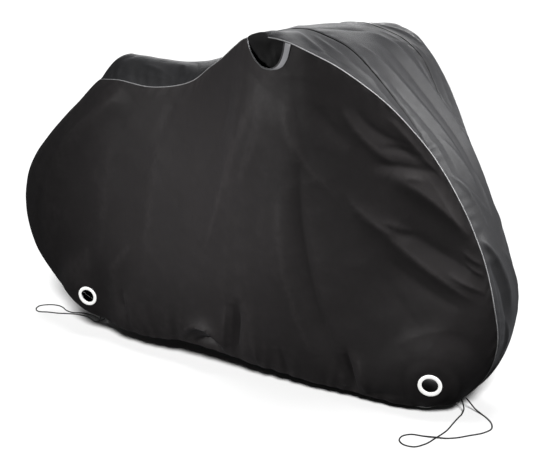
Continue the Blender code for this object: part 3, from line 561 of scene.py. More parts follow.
# The tape's own span of that turn, and its rows as shares of its width: the middle ones stand a little
# higher. The lip is a thin bead on the edge.
TAPE_SPAN = (0.004, 0.996)
TAPE_STATIONS = 91
TAPE_ROWS = (0.0, 0.06, 0.3, 0.6, 0.94, 1.0)
TAPE_CROWN = 0.0005
LIP_RADIUS = 0.0009
LIP_LIFT = 0.0004

# The pocket's places across, the rows of its hanging wall, and the share of its drop at which they start.
POCKET_PLACES = 61
POCKET_ROWS = 40
POCKET_START = 0.06

# The pocket's cloth swells over the piping: its share of the swell and its extra reach, across the U, and the
# steps up and outward that it takes over the piping. Its wall starts lower under the swell, by the lap. The
# left pocket swells less.
POCKET_SWELL = ((-1.0, -0.9, -0.6, -0.2, 0.10, 0.30, 1.0), (0.2, 0.7, 1.0, 1.0, 0.95, 0.0, 0.0))
POCKET_REACH = ((-1.0, -0.9, -0.5, -0.15, 0.15, 0.3, 1.0), (0.0, 0.0, 0.5, 1.5, 2.0, 0.6, 0.0))
POCKET_COURSE = ((-0.004, -0.006), (0.0035, -0.0045), (0.0072, -0.0010), (0.0072, 0.0030), (0.0040, 0.0062),
                 (-0.0020, 0.0066), (-0.0090, 0.0040), (-0.0150, -0.0010))
POCKET_LAP = 0.018
LEFT_SWELL = 0.4

# The pocket's wall keeps this far from the piping's centre line. Where the cloth doesn't swell, it lies under
# and behind the piping, each row a step lower.
POCKET_TOP = 0.004
POCKET_UNDER = 0.0022
POCKET_STEP = 0.0007
POCKET_BEHIND = 0.0048

# The pocket's own folds: their depth, their pace across and down, and their phase.
POCKET_WAVES = ((0.0050, 9.0, 3.0, 0.6), (0.0030, 17.0, -5.0, 0.0), (0.0045, 3.5, 11.0, 0.0))

# The camera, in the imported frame: its place, what it looks at, its focal length in widths of its sensor, and
# the sensor's width in millimetres.
CAMERA_PLACE = (1.595, -2.868, 0.233)
CAMERA_AIM = (-0.189, -0.057, -0.634)
FOCAL_WIDTHS = 1110 / 543
SENSOR = 36.0

# The floor reaches this far each way. The world's own light is weak: the lamps and suns do the work.
FLOOR_HALF = 40
WORLD_LIGHT = 0.055
SUNS = [
    # name, the direction it shines from, strength, width in degrees, and what it lights
    ("overhead", (0.15, -0.25, 0.95), 0.90, 20, "cover"),
    ("floor_light", (0.422, -0.665, 0.616), 5.7, 13, "floor"),
    ("floor_fill", (0.05, 0.02, 1.00), 0.90, 20, "floor"),
]
LAMPS = [
    # name, place, aim, size, power in watts, spread in degrees; the places are in the tables' frame
    ("key", (1.58, 0.04, 1.68), (0.66, 0.00, 0.62), (0.9, 0.9), 54, 180),
    ("backdrop", (-2.0, 4.0, 2.1), (0.2, 0.0, 0.9), (3.6, 2.4), 92, 180),
    ("fill", (-0.38, -1.75, 1.06), (0.02, -0.25, 0.52), (0.5, 0.5), 4.6, 66),
    ("left_fill", (-0.30, 1.90, 1.00), (0.05, 0.25, 0.45), (0.6, 0.6), 5.5, 80),
]


# Curves through the tables.

def smooth(knots, values, at):
    """Values on a smooth curve through the rows (knots, values), at each place in the array `at`."""
    values = values if values.ndim > 1 else values[:, None]
    step = np.diff(knots)
    slope = np.diff(values, axis=0) / step[:, None]
    tangent = np.empty_like(values)
    inner = (slope[:-1] * step[1:, None] + slope[1:] * step[:-1, None]) / (step[:-1] + step[1:])[:, None]
    tangent[1:-1] = inner
    tangent[0] = 1.5 * slope[0] - 0.5 * tangent[1]
    tangent[-1] = 1.5 * slope[-1] - 0.5 * tangent[-2]
    at = np.asarray(at, float)
    i = np.clip(np.searchsorted(knots, at, side="right") - 1, 0, len(step) - 1)
    h = step[i][..., None]
    t = ((at - knots[i]) / step[i])[..., None]
    return (values[i] * (2 * t**3 - 3 * t**2 + 1) + values[i + 1] * (3 * t**2 - 2 * t**3)
            + tangent[i] * h * (t**3 - 2 * t**2 + t) + tangent[i + 1] * h * (t**3 - t**2))


def along(rows, names, station):
    """The named columns of a table, at a station or an array of them."""
    values = np.stack([rows[name] for name in names], axis=-1)
    return smooth(rows["station"], values, station)


def running_length(points):
    """The length along a line of points, at each of them."""
    return np.concatenate([[0], np.cumsum(np.linalg.norm(np.diff(points, axis=0), axis=1))])


def piping(station):
    return along(PIPING, "xyz", station)


def hem(station):
    return along(HEM, "xyz", station)


def crown(station):
    x, z = np.moveaxis(along(CROWN, "xz", station), -1, 0)
    return np.stack([x, np.zeros_like(x), z], axis=-1)


def back_seam(height):
    """The back seam, from the hem at height 0 to the piping at height 1, by its own length."""
    points = np.stack([BACK_SEAM["x"], BACK_SEAM["z"]], axis=-1)
    length = running_length(points)
    x, z = np.moveaxis(smooth(length / length[-1], points, height), -1, 0)
    return np.stack([x, np.zeros_like(x), z], axis=-1)


def fade(distance, near, far):
    """1 up to `near`, 0 from `far` on, and a smooth step between them."""
    t = np.clip((far - distance) / (far - near), 0, 1)
    return t * t * (3 - 2 * t)


def ease(value, length):
    """Rises from 0 to 1 as the value goes from 0 to the length."""
    return np.clip(value / length, 0, 1)


def unit(vector):
    return vector / np.linalg.norm(vector, axis=-1, keepdims=True)


def surface_normal(surface, station, height):
    """The outward normal of a surface(station, height), from its slopes."""
    step = 1e-4
    low_s, high_s = np.clip(station - step, 0, 1), np.clip(station + step, 0, 1)
    low_h, high_h = np.clip(height - step, 0, 1), np.clip(height + step, 0, 1)
    return unit(np.cross(surface(high_s, height) - surface(low_s, height),
                         surface(station, high_h) - surface(station, low_h)))


# The side panel's surface.

def stretched_wall(station, height):
    """The right side as tight cloth: straight from hem to piping, and drawn out round the rear wheel."""
    height = np.asarray(height, float)
    foot, top = hem(station), piping(station)
    straight = foot + (top - foot) * height[..., None]
    back_line = hem(0.0) + (piping(0.0) - hem(0.0)) * height[..., None]
    reach = 0.5 + 0.5 * np.cos(math.pi * np.clip(np.asarray(station) / BACK_REACH, 0, 1))
    return straight + (back_seam(height) - back_line) * reach[..., None]


def tucked_wall(station, height):
    """The side with its foot drawn in by the elastic in the hem."""
    tuck = along(HEM, ["tuck"], station)[..., 0]
    out = tuck * (1 - np.exp(-height / TUCK_RISE)) * (1 - height) ** TUCK_FALL
    return stretched_wall(station, height) + surface_normal(stretched_wall, station, height) * out[..., None]


def eyelet_frame(which):
    """Centre and outward normal of an eyelet on the right side."""
    station, height, outward = EYELETS[which]
    return tucked_wall(np.array(station), np.array(height)), unit(np.array(outward))


# Lengths along the crown, the piping and the hem, for places that are told in metres along the cloth.
LONG = np.linspace(0, 1, 201)
CROWN_LENGTH = running_length(crown(np.maximum(LONG, CROWN["station"][0])))
PIPING_LENGTH = running_length(piping(LONG))
HEM_LENGTH = running_length(hem(LONG))


# Folds, gathers and the cloth's own unevenness.

# The points along a fold, the power that shapes its ridge, and how it tapers: the power of the taper's curve,
# and the share of its length that the curve leaves out at each tip.
FOLD_STEPS = 13
FOLD_SHARPNESS = 1.26
FOLD_TAPER = 0.6
FOLD_TIP = 0.03


def fold_path(start, middle, end):
    """A curve through three points, in short straight runs."""
    turn = np.linspace(0, 1, FOLD_STEPS)[:, None]
    return start * (1 - turn) * (1 - 2 * turn) + middle * 4 * turn * (1 - turn) + end * turn * (2 * turn - 1)


def fold_lift(u, v, path, width, depth, skew):
    """How far one fold lifts the cloth at the places (u, v). The path's points are (u, v) too, in metres.

    A fold's two flanks differ by its skew, and it dies out towards both ends.
    """
    nearest = np.full(u.shape, np.inf)
    place, side = np.zeros_like(u), np.zeros_like(u)
    for k in range(len(path) - 1):
        start, run = path[k], path[k + 1] - path[k]
        t = np.clip(((u - start[0]) * run[0] + (v - start[1]) * run[1]) / (run @ run), 0, 1)
        across = u - start[0] - run[0] * t, v - start[1] - run[1] * t
        away = np.hypot(*across)
        closer = away < nearest
        nearest = np.where(closer, away, nearest)
        place = np.where(closer, (k + t) / (len(path) - 1), place)
        turned_from = (run[0] * across[1] - run[1] * across[0]) / (np.hypot(*run) * (away + 1e-6))
        side = np.where(closer, turned_from, side)
    taper = np.sin(math.pi * np.clip(place * (1 - 2 * FOLD_TIP) + FOLD_TIP, 0, 1)) ** FOLD_TAPER
    return depth * taper * np.exp(-(nearest / (width * (1 + skew * side))) ** FOLD_SHARPNESS)


def wall_folds(x, z, folds):
    """The lift of all the folds of a side panel, at places seen from the side."""
    lift = np.zeros_like(x)
    for x0, z0, xm, zm, x1, z1, width, depth, skew in zip(*folds.values()):
        path = fold_path(np.array((x0, z0)), np.array((xm, zm)), np.array((x1, z1)))
        lift += fold_lift(x, z, path, width, depth, skew)
    return lift


def top_folds(station, place, stations, widths, folds):
    """The lift of all the folds of the strip or a gusset, `place` metres across it.

    The table's t is a share of the width, which is `widths` at each of the `stations`.
    """
    lift = np.zeros_like(place)
    along_crown = np.interp(station, LONG, CROWN_LENGTH)
    for s0, t0, sm, tm, s1, t1, width, depth, skew in zip(*folds.values()):
        ends = [np.array((np.interp(s, LONG, CROWN_LENGTH), t * np.interp(s, stations, widths)))
                for s, t in ((s0, t0), (sm, tm), (s1, t1))]
        lift += fold_lift(along_crown, place, fold_path(*ends), width, depth, skew)
    return lift


# The unevenness has three layers of noise.
UNEVENNESS = table("size depth", [(0.300, 0.0040), (0.120, 0.0016), (0.050, 0.0006)])


def unevenness(points, seed):
    """The slack cloth's slight rise and fall."""
    flat = points.reshape(-1, 3)
    lift = np.zeros(len(flat))
    for size, depth in zip(*UNEVENNESS.values()):
        lift += depth * np.array([noise.noise(Vector(p / size) + Vector((seed, 0, 0))) for p in flat])
    return lift.reshape(points.shape[:-1])


def wander(length, size, seed, layer):
    """Noise from -1 to 1 at each length along a line, with waves of about the given size."""
    return np.array([noise.noise(Vector((a / size, seed, layer))) for a in length])


def swayed(points, length, size, depth, seed):
    """A sewn line's points, each moved a little off their true course."""
    return points + depth * np.stack([wander(length, size, seed, k) for k in range(3)], axis=-1)


# Gathers along each kind of edge: their depth, their reach in from the edge, and the length of a wave. Then
# how far the waves drift out of step, and the lengths over which they drift and swell.
HEM_GATHERS = (0.0022, 0.045, 0.055)
PANEL_GATHERS = (0.0011, 0.012, 0.052)
STRIP_GATHERS = (0.0012, 0.010, 0.044)
GUSSET_GATHERS = (0.0010, 0.010, 0.040)
GATHER_DRIFT = 4.5
DRIFT_SIZE = 0.11
SWELL_SIZE = 0.16


def gathers(share, length, wave, seed):
    """Uneven small waves along a gathered or sewn edge, by the share of their depth that each place has."""
    drift = wander(length, DRIFT_SIZE, seed, 0.0)
    swell = 0.55 + 0.9 * wander(length, SWELL_SIZE, seed, 5.0)
    waves = np.sin(2 * math.pi * length / wave + GATHER_DRIFT * drift) * np.clip(swell, 0, 1)
    return waves.reshape((-1,) + (1,) * (share.ndim - 1)) * share


def pucker(inset, reach):
    """A share that is 1 at `reach` in from a sewn edge, 0 on the edge, and dies out beyond."""
    return inset / reach * np.exp(1 - inset / reach)


# A panel's folds die out over this share of its height below the piping. At the back they die out over this
# share of BACK_EASE, a length of station.
TOP_EASE = 0.08
BACK_EASE = 0.05


def panel_gathers(side, station, height):
    """The lift of a side panel's gathers, above the hem's elastic and below the piping."""
    tall = np.linalg.norm(piping(station) - hem(station), axis=-1)
    column = station.reshape(len(station), -1)[:, 0]
    depth, reach, wave = HEM_GATHERS
    near, length = np.exp(-height * tall / reach), np.interp(column, LONG, HEM_LENGTH)
    lift = depth * gathers(near, length, wave, seed_of("hem", side))
    depth, reach, wave = PANEL_GATHERS
    near, length = pucker((1 - height) * tall, reach), np.interp(column, LONG, PIPING_LENGTH)
    return lift + depth * gathers(near, length, wave, seed_of("panel seam", side))


def draped_wall(side, station, height):
    """A side panel's middle surface, laid out on the right: tucked, folded, and flat round its eyelets."""
    points = tucked_wall(station, height)
    normal = surface_normal(tucked_wall, station, height)
    lift = wall_folds(points[..., 0], points[..., 2], RIGHT_FOLDS if side == "right" else LEFT_FOLDS)
    lift += unevenness(points, seed_of("panel", side))
    lift = lift * ease(np.minimum(1 - height, station / BACK_EASE), TOP_EASE)
    lift += panel_gathers(side, station, height)
    flat = np.zeros_like(lift)
    flatten = np.zeros_like(points)
    for which in EYELETS:
        centre, outward = eyelet_frame(which)
        away = np.linalg.norm(points - centre, axis=-1)
        near = fade(away, FLAT_RADIUS, FLAT_RADIUS + FLAT_BLEND)
        wide = fade(away, FLAT_RADIUS, FLAT_RADIUS + TILT_BLEND)
        face = surface_normal(tucked_wall, *(np.array(value) for value in EYELETS[which][:2]))
        swell = (points - centre) @ (face / (face @ outward))
        tilt = (points - centre) @ outward - swell
        flatten -= outward * (swell * near + tilt * wide)[..., None]
        flat = np.maximum(flat, near)
    return points + flatten + normal * (lift * (1 - flat))[..., None]


def wall_normal(side, station, height):
    def surface(s, h):
        return draped_wall(side, s, h)
    return surface_normal(surface, station, height)


# Meshes.

def placed(points, side="right"):
    """Points of the tables' frame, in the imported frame; the left side is turned over."""
    points = np.array(points, float).reshape(-1, 3)
    if side == "left":
        points = points * (1, -1, 1)
    return points - HOLD


def grid_normal(grid):
    """Normals of a grid of points, by differences between neighbours."""
    return unit(np.cross(np.gradient(grid, axis=0), np.gradient(grid, axis=1)))


def add_object(name, data):
    made = bpy.data.objects.new(name, data)
    bpy.context.scene.collection.objects.link(made)
    return made


def add_piece(name, data, finish):
    piece = add_object(name, data)
    data.materials.append(finish)
    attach(piece, "root")
    return piece


def add_mesh(name, points, faces, finish, side="right", sharp=50, uv=None, wear_and_painted_light=None):
    """A mesh piece. `uv` is the cloth's own plan in metres and `wear_and_painted_light` how much paler it is
    painted, for wear and as painted light, both by point.
    """
    points = placed(points, side)
    if side == "left":
        faces = [tuple(reversed(face)) for face in faces]
    mesh = bpy.data.meshes.new(name)
    mesh.from_pydata(points.tolist(), [], faces)
    mesh.update()
    if uv is not None:
        corners = np.empty(len(mesh.loops), int)
        mesh.loops.foreach_get("vertex_index", corners)
        layer = mesh.uv_layers.new(name="plan")
        layer.uv.foreach_set("vector", np.asarray(uv, np.float32)[corners].ravel())
    if wear_and_painted_light is not None:
        mesh.attributes.new("wear_and_painted_light", "FLOAT", "POINT").data.foreach_set("value", np.asarray(wear_and_painted_light, np.float32))
    mesh.shade_smooth()
    mesh.set_sharp_from_angle(angle=math.radians(sharp))
    return add_piece(name, mesh, finish)


def cloth_piece(name, grid, normal, thickness, finish, side="right", keep=None, wear_and_painted_light=None):
    """A closed thin sheet on a grid of its middle surface. `keep` marks the cells that aren't cut away."""
    rows, columns = grid.shape[:2]
    keep = np.ones((rows - 1, columns - 1), bool) if keep is None else keep
    index = np.arange(rows * columns).reshape(rows, columns)
    corners = np.stack([index[:-1, :-1], index[1:, :-1], index[1:, 1:], index[:-1, 1:]], axis=-1)[keep]
    edges = np.concatenate([corners[:, [k, (k + 1) % 4]] for k in range(4)])
    codes = edges[:, 0] * (rows * columns) + edges[:, 1]
    mates = edges[:, 1] * (rows * columns) + edges[:, 0]
    rim = edges[~np.isin(codes, mates)]
    used, fresh = np.unique(corners, return_inverse=True)
    corners = fresh.reshape(-1, 4)
    rim = np.searchsorted(used, rim)
    middle, outward = grid.reshape(-1, 3)[used], normal.reshape(-1, 3)[used]
    points = np.vstack([middle + outward * thickness / 2, middle - outward * thickness / 2])
    under = len(used)
    faces = [tuple(c) for c in corners.tolist()]
    faces += [tuple(c[::-1]) for c in (corners + under).tolist()]
    faces += [(q, p, p + under, q + under) for p, q in rim.tolist()]
    u = np.cumsum(np.linalg.norm(np.diff(grid, axis=0, prepend=grid[:1]), axis=2).mean(axis=1))
    v = np.cumsum(np.linalg.norm(np.diff(grid, axis=1, prepend=grid[:, :1]), axis=2), axis=1)
    plan = np.stack([np.broadcast_to(u[:, None], v.shape), v], axis=-1).reshape(-1, 2)[used]
    wear_and_light_by_point = None if wear_and_painted_light is None else np.tile(wear_and_painted_light.reshape(-1)[used], 2)
    return add_mesh(name, points, faces, finish, side, uv=np.tile(plan, (2, 1)), wear_and_painted_light=wear_and_light_by_point)


def wear_and_crest_highlight(grid, normal, edges):
    """How much paler the cloth is painted, from 0 to 1: on its crests as a painted highlight, and along its
    sewn edges as wear.
    """
    smooth_grid = grid.copy()
    for _ in range(3):
        inner = (smooth_grid[:-2, 1:-1] + smooth_grid[2:, 1:-1]
                 + smooth_grid[1:-1, :-2] + smooth_grid[1:-1, 2:]) / 4
        smooth_grid[1:-1, 1:-1] = inner
    # Crests that stand above the smoothed cloth get a painted highlight; sewn edges get wear.
    crest_highlight = ease(np.sum((grid - smooth_grid) * normal, axis=-1), CREST)
    return np.clip(0.5 * crest_highlight + 0.6 * edges, 0, 1)


def turned(profile, sides, centre, outward):
    """Points and faces of a ring: a closed (radius, height) profile turned about the outward axis."""
    across = unit(np.cross(outward, (0.0, 0.0, 1.0)))
    up = np.cross(across, outward)
    angle = 2 * math.pi * np.arange(sides)[:, None, None] / sides
    radius, height = profile[:, 0][None, :, None], profile[:, 1][None, :, None]
    points = centre + (across * np.cos(angle) + up * np.sin(angle)) * radius + outward * height
    count = len(profile)
    faces = []
    for k in range(sides):
        for m in range(count):
            a, b = k * count + m, k * count + (m + 1) % count
            c, d = ((k + 1) % sides) * count + (m + 1) % count, ((k + 1) % sides) * count + m
            faces.append((a, b, c, d))
    return points.reshape(-1, 3), faces


def tube(name, points, radius, finish, side="right"):
    """A round cord along the points: one open spline with a bevel and filled caps."""
    curve = bpy.data.curves.new(name, "CURVE")
    curve.dimensions = "3D"
    curve.bevel_depth = radius
    curve.bevel_resolution = 3
    curve.use_fill_caps = True
    spline = curve.splines.new("POLY")
    points = placed(points, side)
    spline.points.add(len(points) - 1)
    for point, place in zip(spline.points, points):
        point.co = (*place, 1.0)
    return add_piece(name, curve, finish)


def line_from_edge(grid, normal, distance, end=0):
    """The line that crosses a grid's rows at a distance in from one edge, with its normals.

    Rows that are too short to hold a line at both edges are left out.
    """
    if end:
        grid, normal = grid[:, ::-1], normal[:, ::-1]
    points, outward = [], []
    for row, facing in zip(grid, normal):
        length = running_length(row)
        if length[-1] > 2.2 * distance:
            points.append([np.interp(distance, length, row[:, k]) for k in range(3)])
            outward.append([np.interp(distance, length, facing[:, k]) for k in range(3)])
    return np.array(points), unit(np.array(outward))


def line_from_back(grid, normal, distance):
    """The same along a grid's columns, at a distance in from its first row."""
    return line_from_edge(grid.transpose(1, 0, 2), normal.transpose(1, 0, 2), distance)


def stitch_row(points, outward, lift):
    """Points and faces of a row of stitches on a line that lies on the cloth."""
    length = running_length(points)
    places = np.arange(STITCH_PITCH, length[-1] - STITCH_PITCH, STITCH_PITCH)
    if not len(places):
        return np.zeros((0, 3)), []

    def at(values, where):
        return np.stack([np.interp(where, length, values[:, k]) for k in range(3)], axis=-1)

    centre, up = at(points, places), unit(at(outward, places))
    ahead = unit(at(points, places + 0.001) - at(points, places - 0.001))
    aside = np.cross(up, ahead)
    sides = STITCH_SIDES
    points = []
    for share, size, rise in STITCH_RINGS:
        for k in range(sides):
            angle = 2 * math.pi * k / sides
            points.append(centre + ahead * STITCH * share + aside * STITCH_RADIUS * size * math.cos(angle)
                          + up * (lift + STITCH_RADIUS * (rise + size * math.sin(angle))))
    points = np.stack(points, axis=1)
    one = [tuple(range(sides - 1, -1, -1)), tuple(range(3 * sides, 4 * sides))]
    for r in range(3):
        for k in range(sides):
            a, b = r * sides + k, r * sides + (k + 1) % sides
            one.append((a, b, b + sides, a + sides))
    count = 4 * sides
    faces = [tuple(p + i * count for p in face) for i in range(len(places)) for face in one]
    return points.reshape(-1, 3), faces


def add_stitching(name, lines, side="right"):
    """All the rows of stitches of one cloth, as one piece."""
    points, faces = [], []
    total = 0
    for line, outward in lines:
        more, cells = stitch_row(line, outward, CLOTH / 2 + STITCH_LIFT)
        faces += [tuple(p + total for p in cell) for cell in cells]
        points.append(more)
        total += len(more)
    return add_mesh(name, np.concatenate(points), faces, THREAD, side)


# Materials.

def fill(tree, socket, value):
    """Gives a socket its value: a number or colour, or another node's output."""
    if isinstance(value, bpy.types.NodeSocket):
        tree.links.new(value, socket)
    else:
        socket.default_value = value


def add_node(tree, kind, settings=(), **inputs):
    """A node with its settings and inputs. An input that is named _0, _1 and so on goes by its number."""
    node = tree.nodes.new(kind)
    for name, value in dict(settings).items():
        setattr(node, name, value)
    for name, value in inputs.items():
        socket = node.inputs[int(name[1:])] if name[0] == "_" and name[1:].isdigit() else node.inputs[name]
        fill(tree, socket, value)
    return node


def new_material(name):
    """A material, its nodes, its shader and the place on the object that its patterns go by."""
    material = bpy.data.materials.new(name)
    material.use_nodes = True
    tree = material.node_tree
    place = add_node(tree, "ShaderNodeTexCoord").outputs["Object"]
    return material, tree, tree.nodes["Principled BSDF"], place


def set_surface(tree, shader, colour, roughness, *bumps):
    """Links a material's colour, roughness and bumps. Each bump is a strength, a depth and a height."""
    fill(tree, shader.inputs["Base Color"], colour)
    fill(tree, shader.inputs["Roughness"], roughness)
    under = {}
    for strength, depth, height in bumps:
        bump = add_node(tree, "ShaderNodeBump", Strength=strength, Distance=depth, Height=height, **under)
        under = {"Normal": bump.outputs["Normal"]}
    fill(tree, shader.inputs["Normal"], under["Normal"])


def noise_of(tree, place, scale, detail=3.0, roughness=0.55):
    node = add_node(tree, "ShaderNodeTexNoise", Vector=place, Scale=scale, Detail=detail, Roughness=roughness)
    return node.outputs["Fac"]


def remap(tree, value, low, high, to_low=0.0, to_high=1.0):
    node = add_node(tree, "ShaderNodeMapRange", **{"Value": value, "From Min": low, "From Max": high,
                                                   "To Min": to_low, "To Max": to_high})
    return node.outputs["Result"]


def blend(tree, share, first, second):
    """Colours mixed by a share. Each may be given as numbers or as a node's output."""
    node = tree.nodes.new("ShaderNodeMix")
    node.data_type = "RGBA"
    for k, value in ((0, share), (6, first), (7, second)):
        fill(tree, node.inputs[k], (*value, 1) if isinstance(value, tuple) else value)
    return node.outputs[2]


def arithmetic(tree, operation, first, second):
    return add_node(tree, "ShaderNodeMath", {"operation": operation}, _0=first, _1=second).outputs[0]


def attribute(tree, name):
    return add_node(tree, "ShaderNodeAttribute", {"attribute_name": name}).outputs["Fac"]


# The pitch of a wave texture's bands at scale 1, and of the cloth's threads, both in metres.
BAND_PITCH = 0.314
THREAD_PITCH = 0.0009


def weave_height(tree, plan):
    """A plain weave: warp and weft threads that pass over each other in turn."""
    warp, weft = (add_node(tree, "ShaderNodeTexWave", {"wave_type": "BANDS", "bands_direction": axis},
                           Vector=plan, Scale=BAND_PITCH / THREAD_PITCH, Distortion=0.0) for axis in "XY")
    return arithmetic(tree, "MULTIPLY", warp.outputs["Fac"], weft.outputs["Fac"])


def make_nylon(name, dark, light, rough, sheen, specular):
    """Coated black nylon: a fine plain weave, uneven dye and shine, and painted paler where it is worn along
    its sewn edges and on fold crests, where the paleness is a painted highlight.
    """
    material, tree, shader, place = new_material(name)
    plan = add_node(tree, "ShaderNodeUVMap", {"uv_map": "plan"}).outputs["UV"]
    wear_and_painted_light = attribute(tree, "wear_and_painted_light")
    broad = noise_of(tree, place, 2.4, 4.0)
    fine = noise_of(tree, place, 46.0, 5.0, 0.65)
    grain = noise_of(tree, place, 900.0, 2.0)
    mottle = arithmetic(tree, "ADD", arithmetic(tree, "MULTIPLY", broad, 0.65),
                        arithmetic(tree, "MULTIPLY", fine, 0.35))
    colour = blend(tree, remap(tree, mottle, 0.30, 0.70), dark, light)
    # Paler where the cloth is worn along sewn edges, and on fold crests as a painted highlight.
    dust_and_highlight_tone = tuple(min(1.0, c * 1.55 + 0.004) for c in light)
    wear_and_highlight_share = arithmetic(tree, "MULTIPLY", wear_and_painted_light, remap(tree, fine, 0.35, 0.70, 0.25, 0.9))
    colour = blend(tree, wear_and_highlight_share, colour, dust_and_highlight_tone)
    threads = weave_height(tree, plan)
    # Darker in the hollows between the threads: painted shade.
    colour = blend(tree, remap(tree, threads, 0.0, 0.6, 0.16, 0.0), colour, (0.004, 0.004, 0.004))
    shine = arithmetic(tree, "ADD", remap(tree, mottle, 0.3, 0.7, rough + 0.05, rough - 0.05),
                       arithmetic(tree, "MULTIPLY", grain, 0.05))
    shader.inputs["Specular IOR Level"].default_value = specular
    shader.inputs["Sheen Weight"].default_value = sheen
    shader.inputs["Sheen Roughness"].default_value = 0.45
    shader.inputs["Sheen Tint"].default_value = (0.80, 0.82, 0.88, 1)
    set_surface(tree, shader, colour, shine, (0.35, 0.00025, threads), (0.30, 0.0012, fine))
    return material


def make_tape(name, tape_painted_shade, bright, rough, metallic):
    """Reflective grey tape: tiny glass beads on a woven backing. Its colour is painted from a dark shade to a
    bright reflection by the mesh's attribute: painted light.
    """
    material, tree, shader, place = new_material(name)
    beads = noise_of(tree, place, 2600.0, 1.0)
    streaks = noise_of(tree, place, 60.0, 4.0)
    # Painted light: the colour runs from a painted dark shade to a painted bright reflection along the tape.
    colour = blend(tree, attribute(tree, "wear_and_painted_light"), tape_painted_shade, bright)
    colour = blend(tree, remap(tree, streaks, 0.45, 0.75, 0.0, 0.30), colour, tuple(0.7 * c for c in bright))
    shader.inputs["Metallic"].default_value = metallic
    set_surface(tree, shader, colour, remap(tree, beads, 0.3, 0.7, rough - 0.06, rough + 0.10),
                (0.3, 0.0002, beads))
    return material


def make_welt(name, colour, shade, rough):
    """The piping's cover: reflective cloth wrapped round a cord, with faint ribs that have painted shade
    between them, and a little dirt.
    """
    material, tree, shader, place = new_material(name)
    ribs = noise_of(tree, place, 520.0, 2.0)
    dirt = noise_of(tree, place, 9.0, 5.0, 0.65)
    mixed = blend(tree, remap(tree, dirt, 0.48, 0.75, 0.0, 0.55), colour, shade)
    # Darker where the ribs are low: painted shade between them.
    mixed = blend(tree, remap(tree, ribs, 0.35, 0.65, 0.22, 0.0), mixed, shade)
    shine = remap(tree, ribs, 0.3, 0.7, rough + 0.1, rough - 0.05)
    set_surface(tree, shader, mixed, shine, (0.5, 0.0003, ribs))
    return material


def make_plastic(name, colour, shade):
    """Moulded white plastic: smooth, with a fine mould texture, faint scuffs and grime."""
    material, tree, shader, place = new_material(name)
    grime = noise_of(tree, place, 70.0, 6.0, 0.7)
    mould = noise_of(tree, place, 1400.0, 2.0)
    stretched = add_node(tree, "ShaderNodeMapping", Vector=place, Scale=(900, 120, 900)).outputs[0]
    scuffs = noise_of(tree, stretched, 1.0, 2.0)
    mixed = blend(tree, remap(tree, grime, 0.52, 0.78, 0.0, 0.45), colour, shade)
    set_surface(tree, shader, mixed, remap(tree, scuffs, 0.3, 0.75, 0.26, 0.48), (0.12, 0.0002, mould))
    return material


def make_cord(name, colour, light):
    """A braided black cord: fine raised strands with a dull shine; the strands are painted paler and the
    hollows between them darker, as painted light and shade.
    """
    material, tree, shader, place = new_material(name)
    braid = add_node(tree, "ShaderNodeTexWave", {"bands_direction": "DIAGONAL"}, Vector=place, Scale=190.0,
                     Distortion=1.0).outputs["Fac"]
    lint = noise_of(tree, place, 700.0, 4.0)
    strands = arithmetic(tree, "MULTIPLY", braid, lint)
    # Paler on the raised strands and darker in the hollows: painted light and shade.
    mixed = blend(tree, remap(tree, strands, 0.1, 0.5), colour, light)
    set_surface(tree, shader, mixed, remap(tree, lint, 0.3, 0.7, 0.60, 0.80), (0.6, 0.0004, strands))
    return material


# The side nylon is tinted a little warmer and the top nylon a little cooler: one black nylon, with painted
# shade on the sides and painted light on the top.
SIDE_NYLON = make_nylon("side nylon", (0.0185, 0.0164, 0.0168), (0.0290, 0.0258, 0.0264), 0.52, 0.06, 0.30)
TOP_NYLON = make_nylon("top nylon", (0.0175, 0.0175, 0.0186), (0.0275, 0.0275, 0.0292), 0.52, 0.06, 0.26)
# The same black nylon painted darker: painted shade on the pocket inside the vent and in the strip's seams.
SHADED_NYLON = make_nylon("shaded nylon", (0.0085, 0.0083, 0.0084), (0.015, 0.0148, 0.015), 0.62, 0.05, 0.20)
THREAD = make_cord("black thread", (0.012, 0.012, 0.012), (0.045, 0.045, 0.047))
WELT = make_welt("reflective piping", (0.38, 0.38, 0.385), (0.17, 0.17, 0.18), 0.45)
LIP = make_welt("bound lip", (0.13, 0.13, 0.135), (0.06, 0.06, 0.062), 0.50)
VENT_TAPE = make_tape("reflective tape", (0.035, 0.035, 0.037), (0.42, 0.42, 0.44), 0.36, 0.10)
RING_PLASTIC = make_plastic("white plastic", (0.66, 0.66, 0.65), (0.42, 0.41, 0.38))
CORD_BRAID = make_cord("braided cord", (0.004, 0.004, 0.004), (0.014, 0.014, 0.0145))


# The camera and the cords.

def add_camera():
    data = bpy.data.cameras.new("camera")
    data.sensor_width = SENSOR
    data.lens = FOCAL_WIDTHS * SENSOR
    data.clip_end = 200.0
    camera = add_object("camera", data)
    camera.location = CAMERA_PLACE
    aim = Vector(CAMERA_AIM) - camera.location
    camera.rotation_euler = aim.to_track_quat("-Z", "Y").to_euler()
    bpy.context.scene.camera = camera


def build_cord(end):
    route = np.array(CORD_ROUTES[end])
    length = running_length(route)
    points = smooth(length, route, np.linspace(0, length[-1], CORD_POINTS[end]))
    points[:, 2] = np.maximum(points[:, 2], CORD_RADIUS)
    piece = tube(f"draw_cord_{end}", points, CORD_RADIUS, CORD_BRAID)
    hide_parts(f"cord_{end}")


# The cloth pieces.

def even_stations(count):
    """The side panel's stations: spaced by their weight along it, with closer steps over the vent."""
    vent = VENT_STATION + VENT_HALF * np.array(VENT_STEPS)
    fine = np.linspace(0, PANEL_END, 2001)
    weight = np.cumsum(np.interp(fine, STATION_WEIGHT["station"], STATION_WEIGHT["weight"]))
    plain = np.interp(np.linspace(weight[0], weight[-1], count), weight, fine)
    plain = plain[(plain < vent[0] - STATION_GAP) | (plain > vent[-1] + STATION_GAP)]
    return np.sort(np.concatenate([plain, vent]))


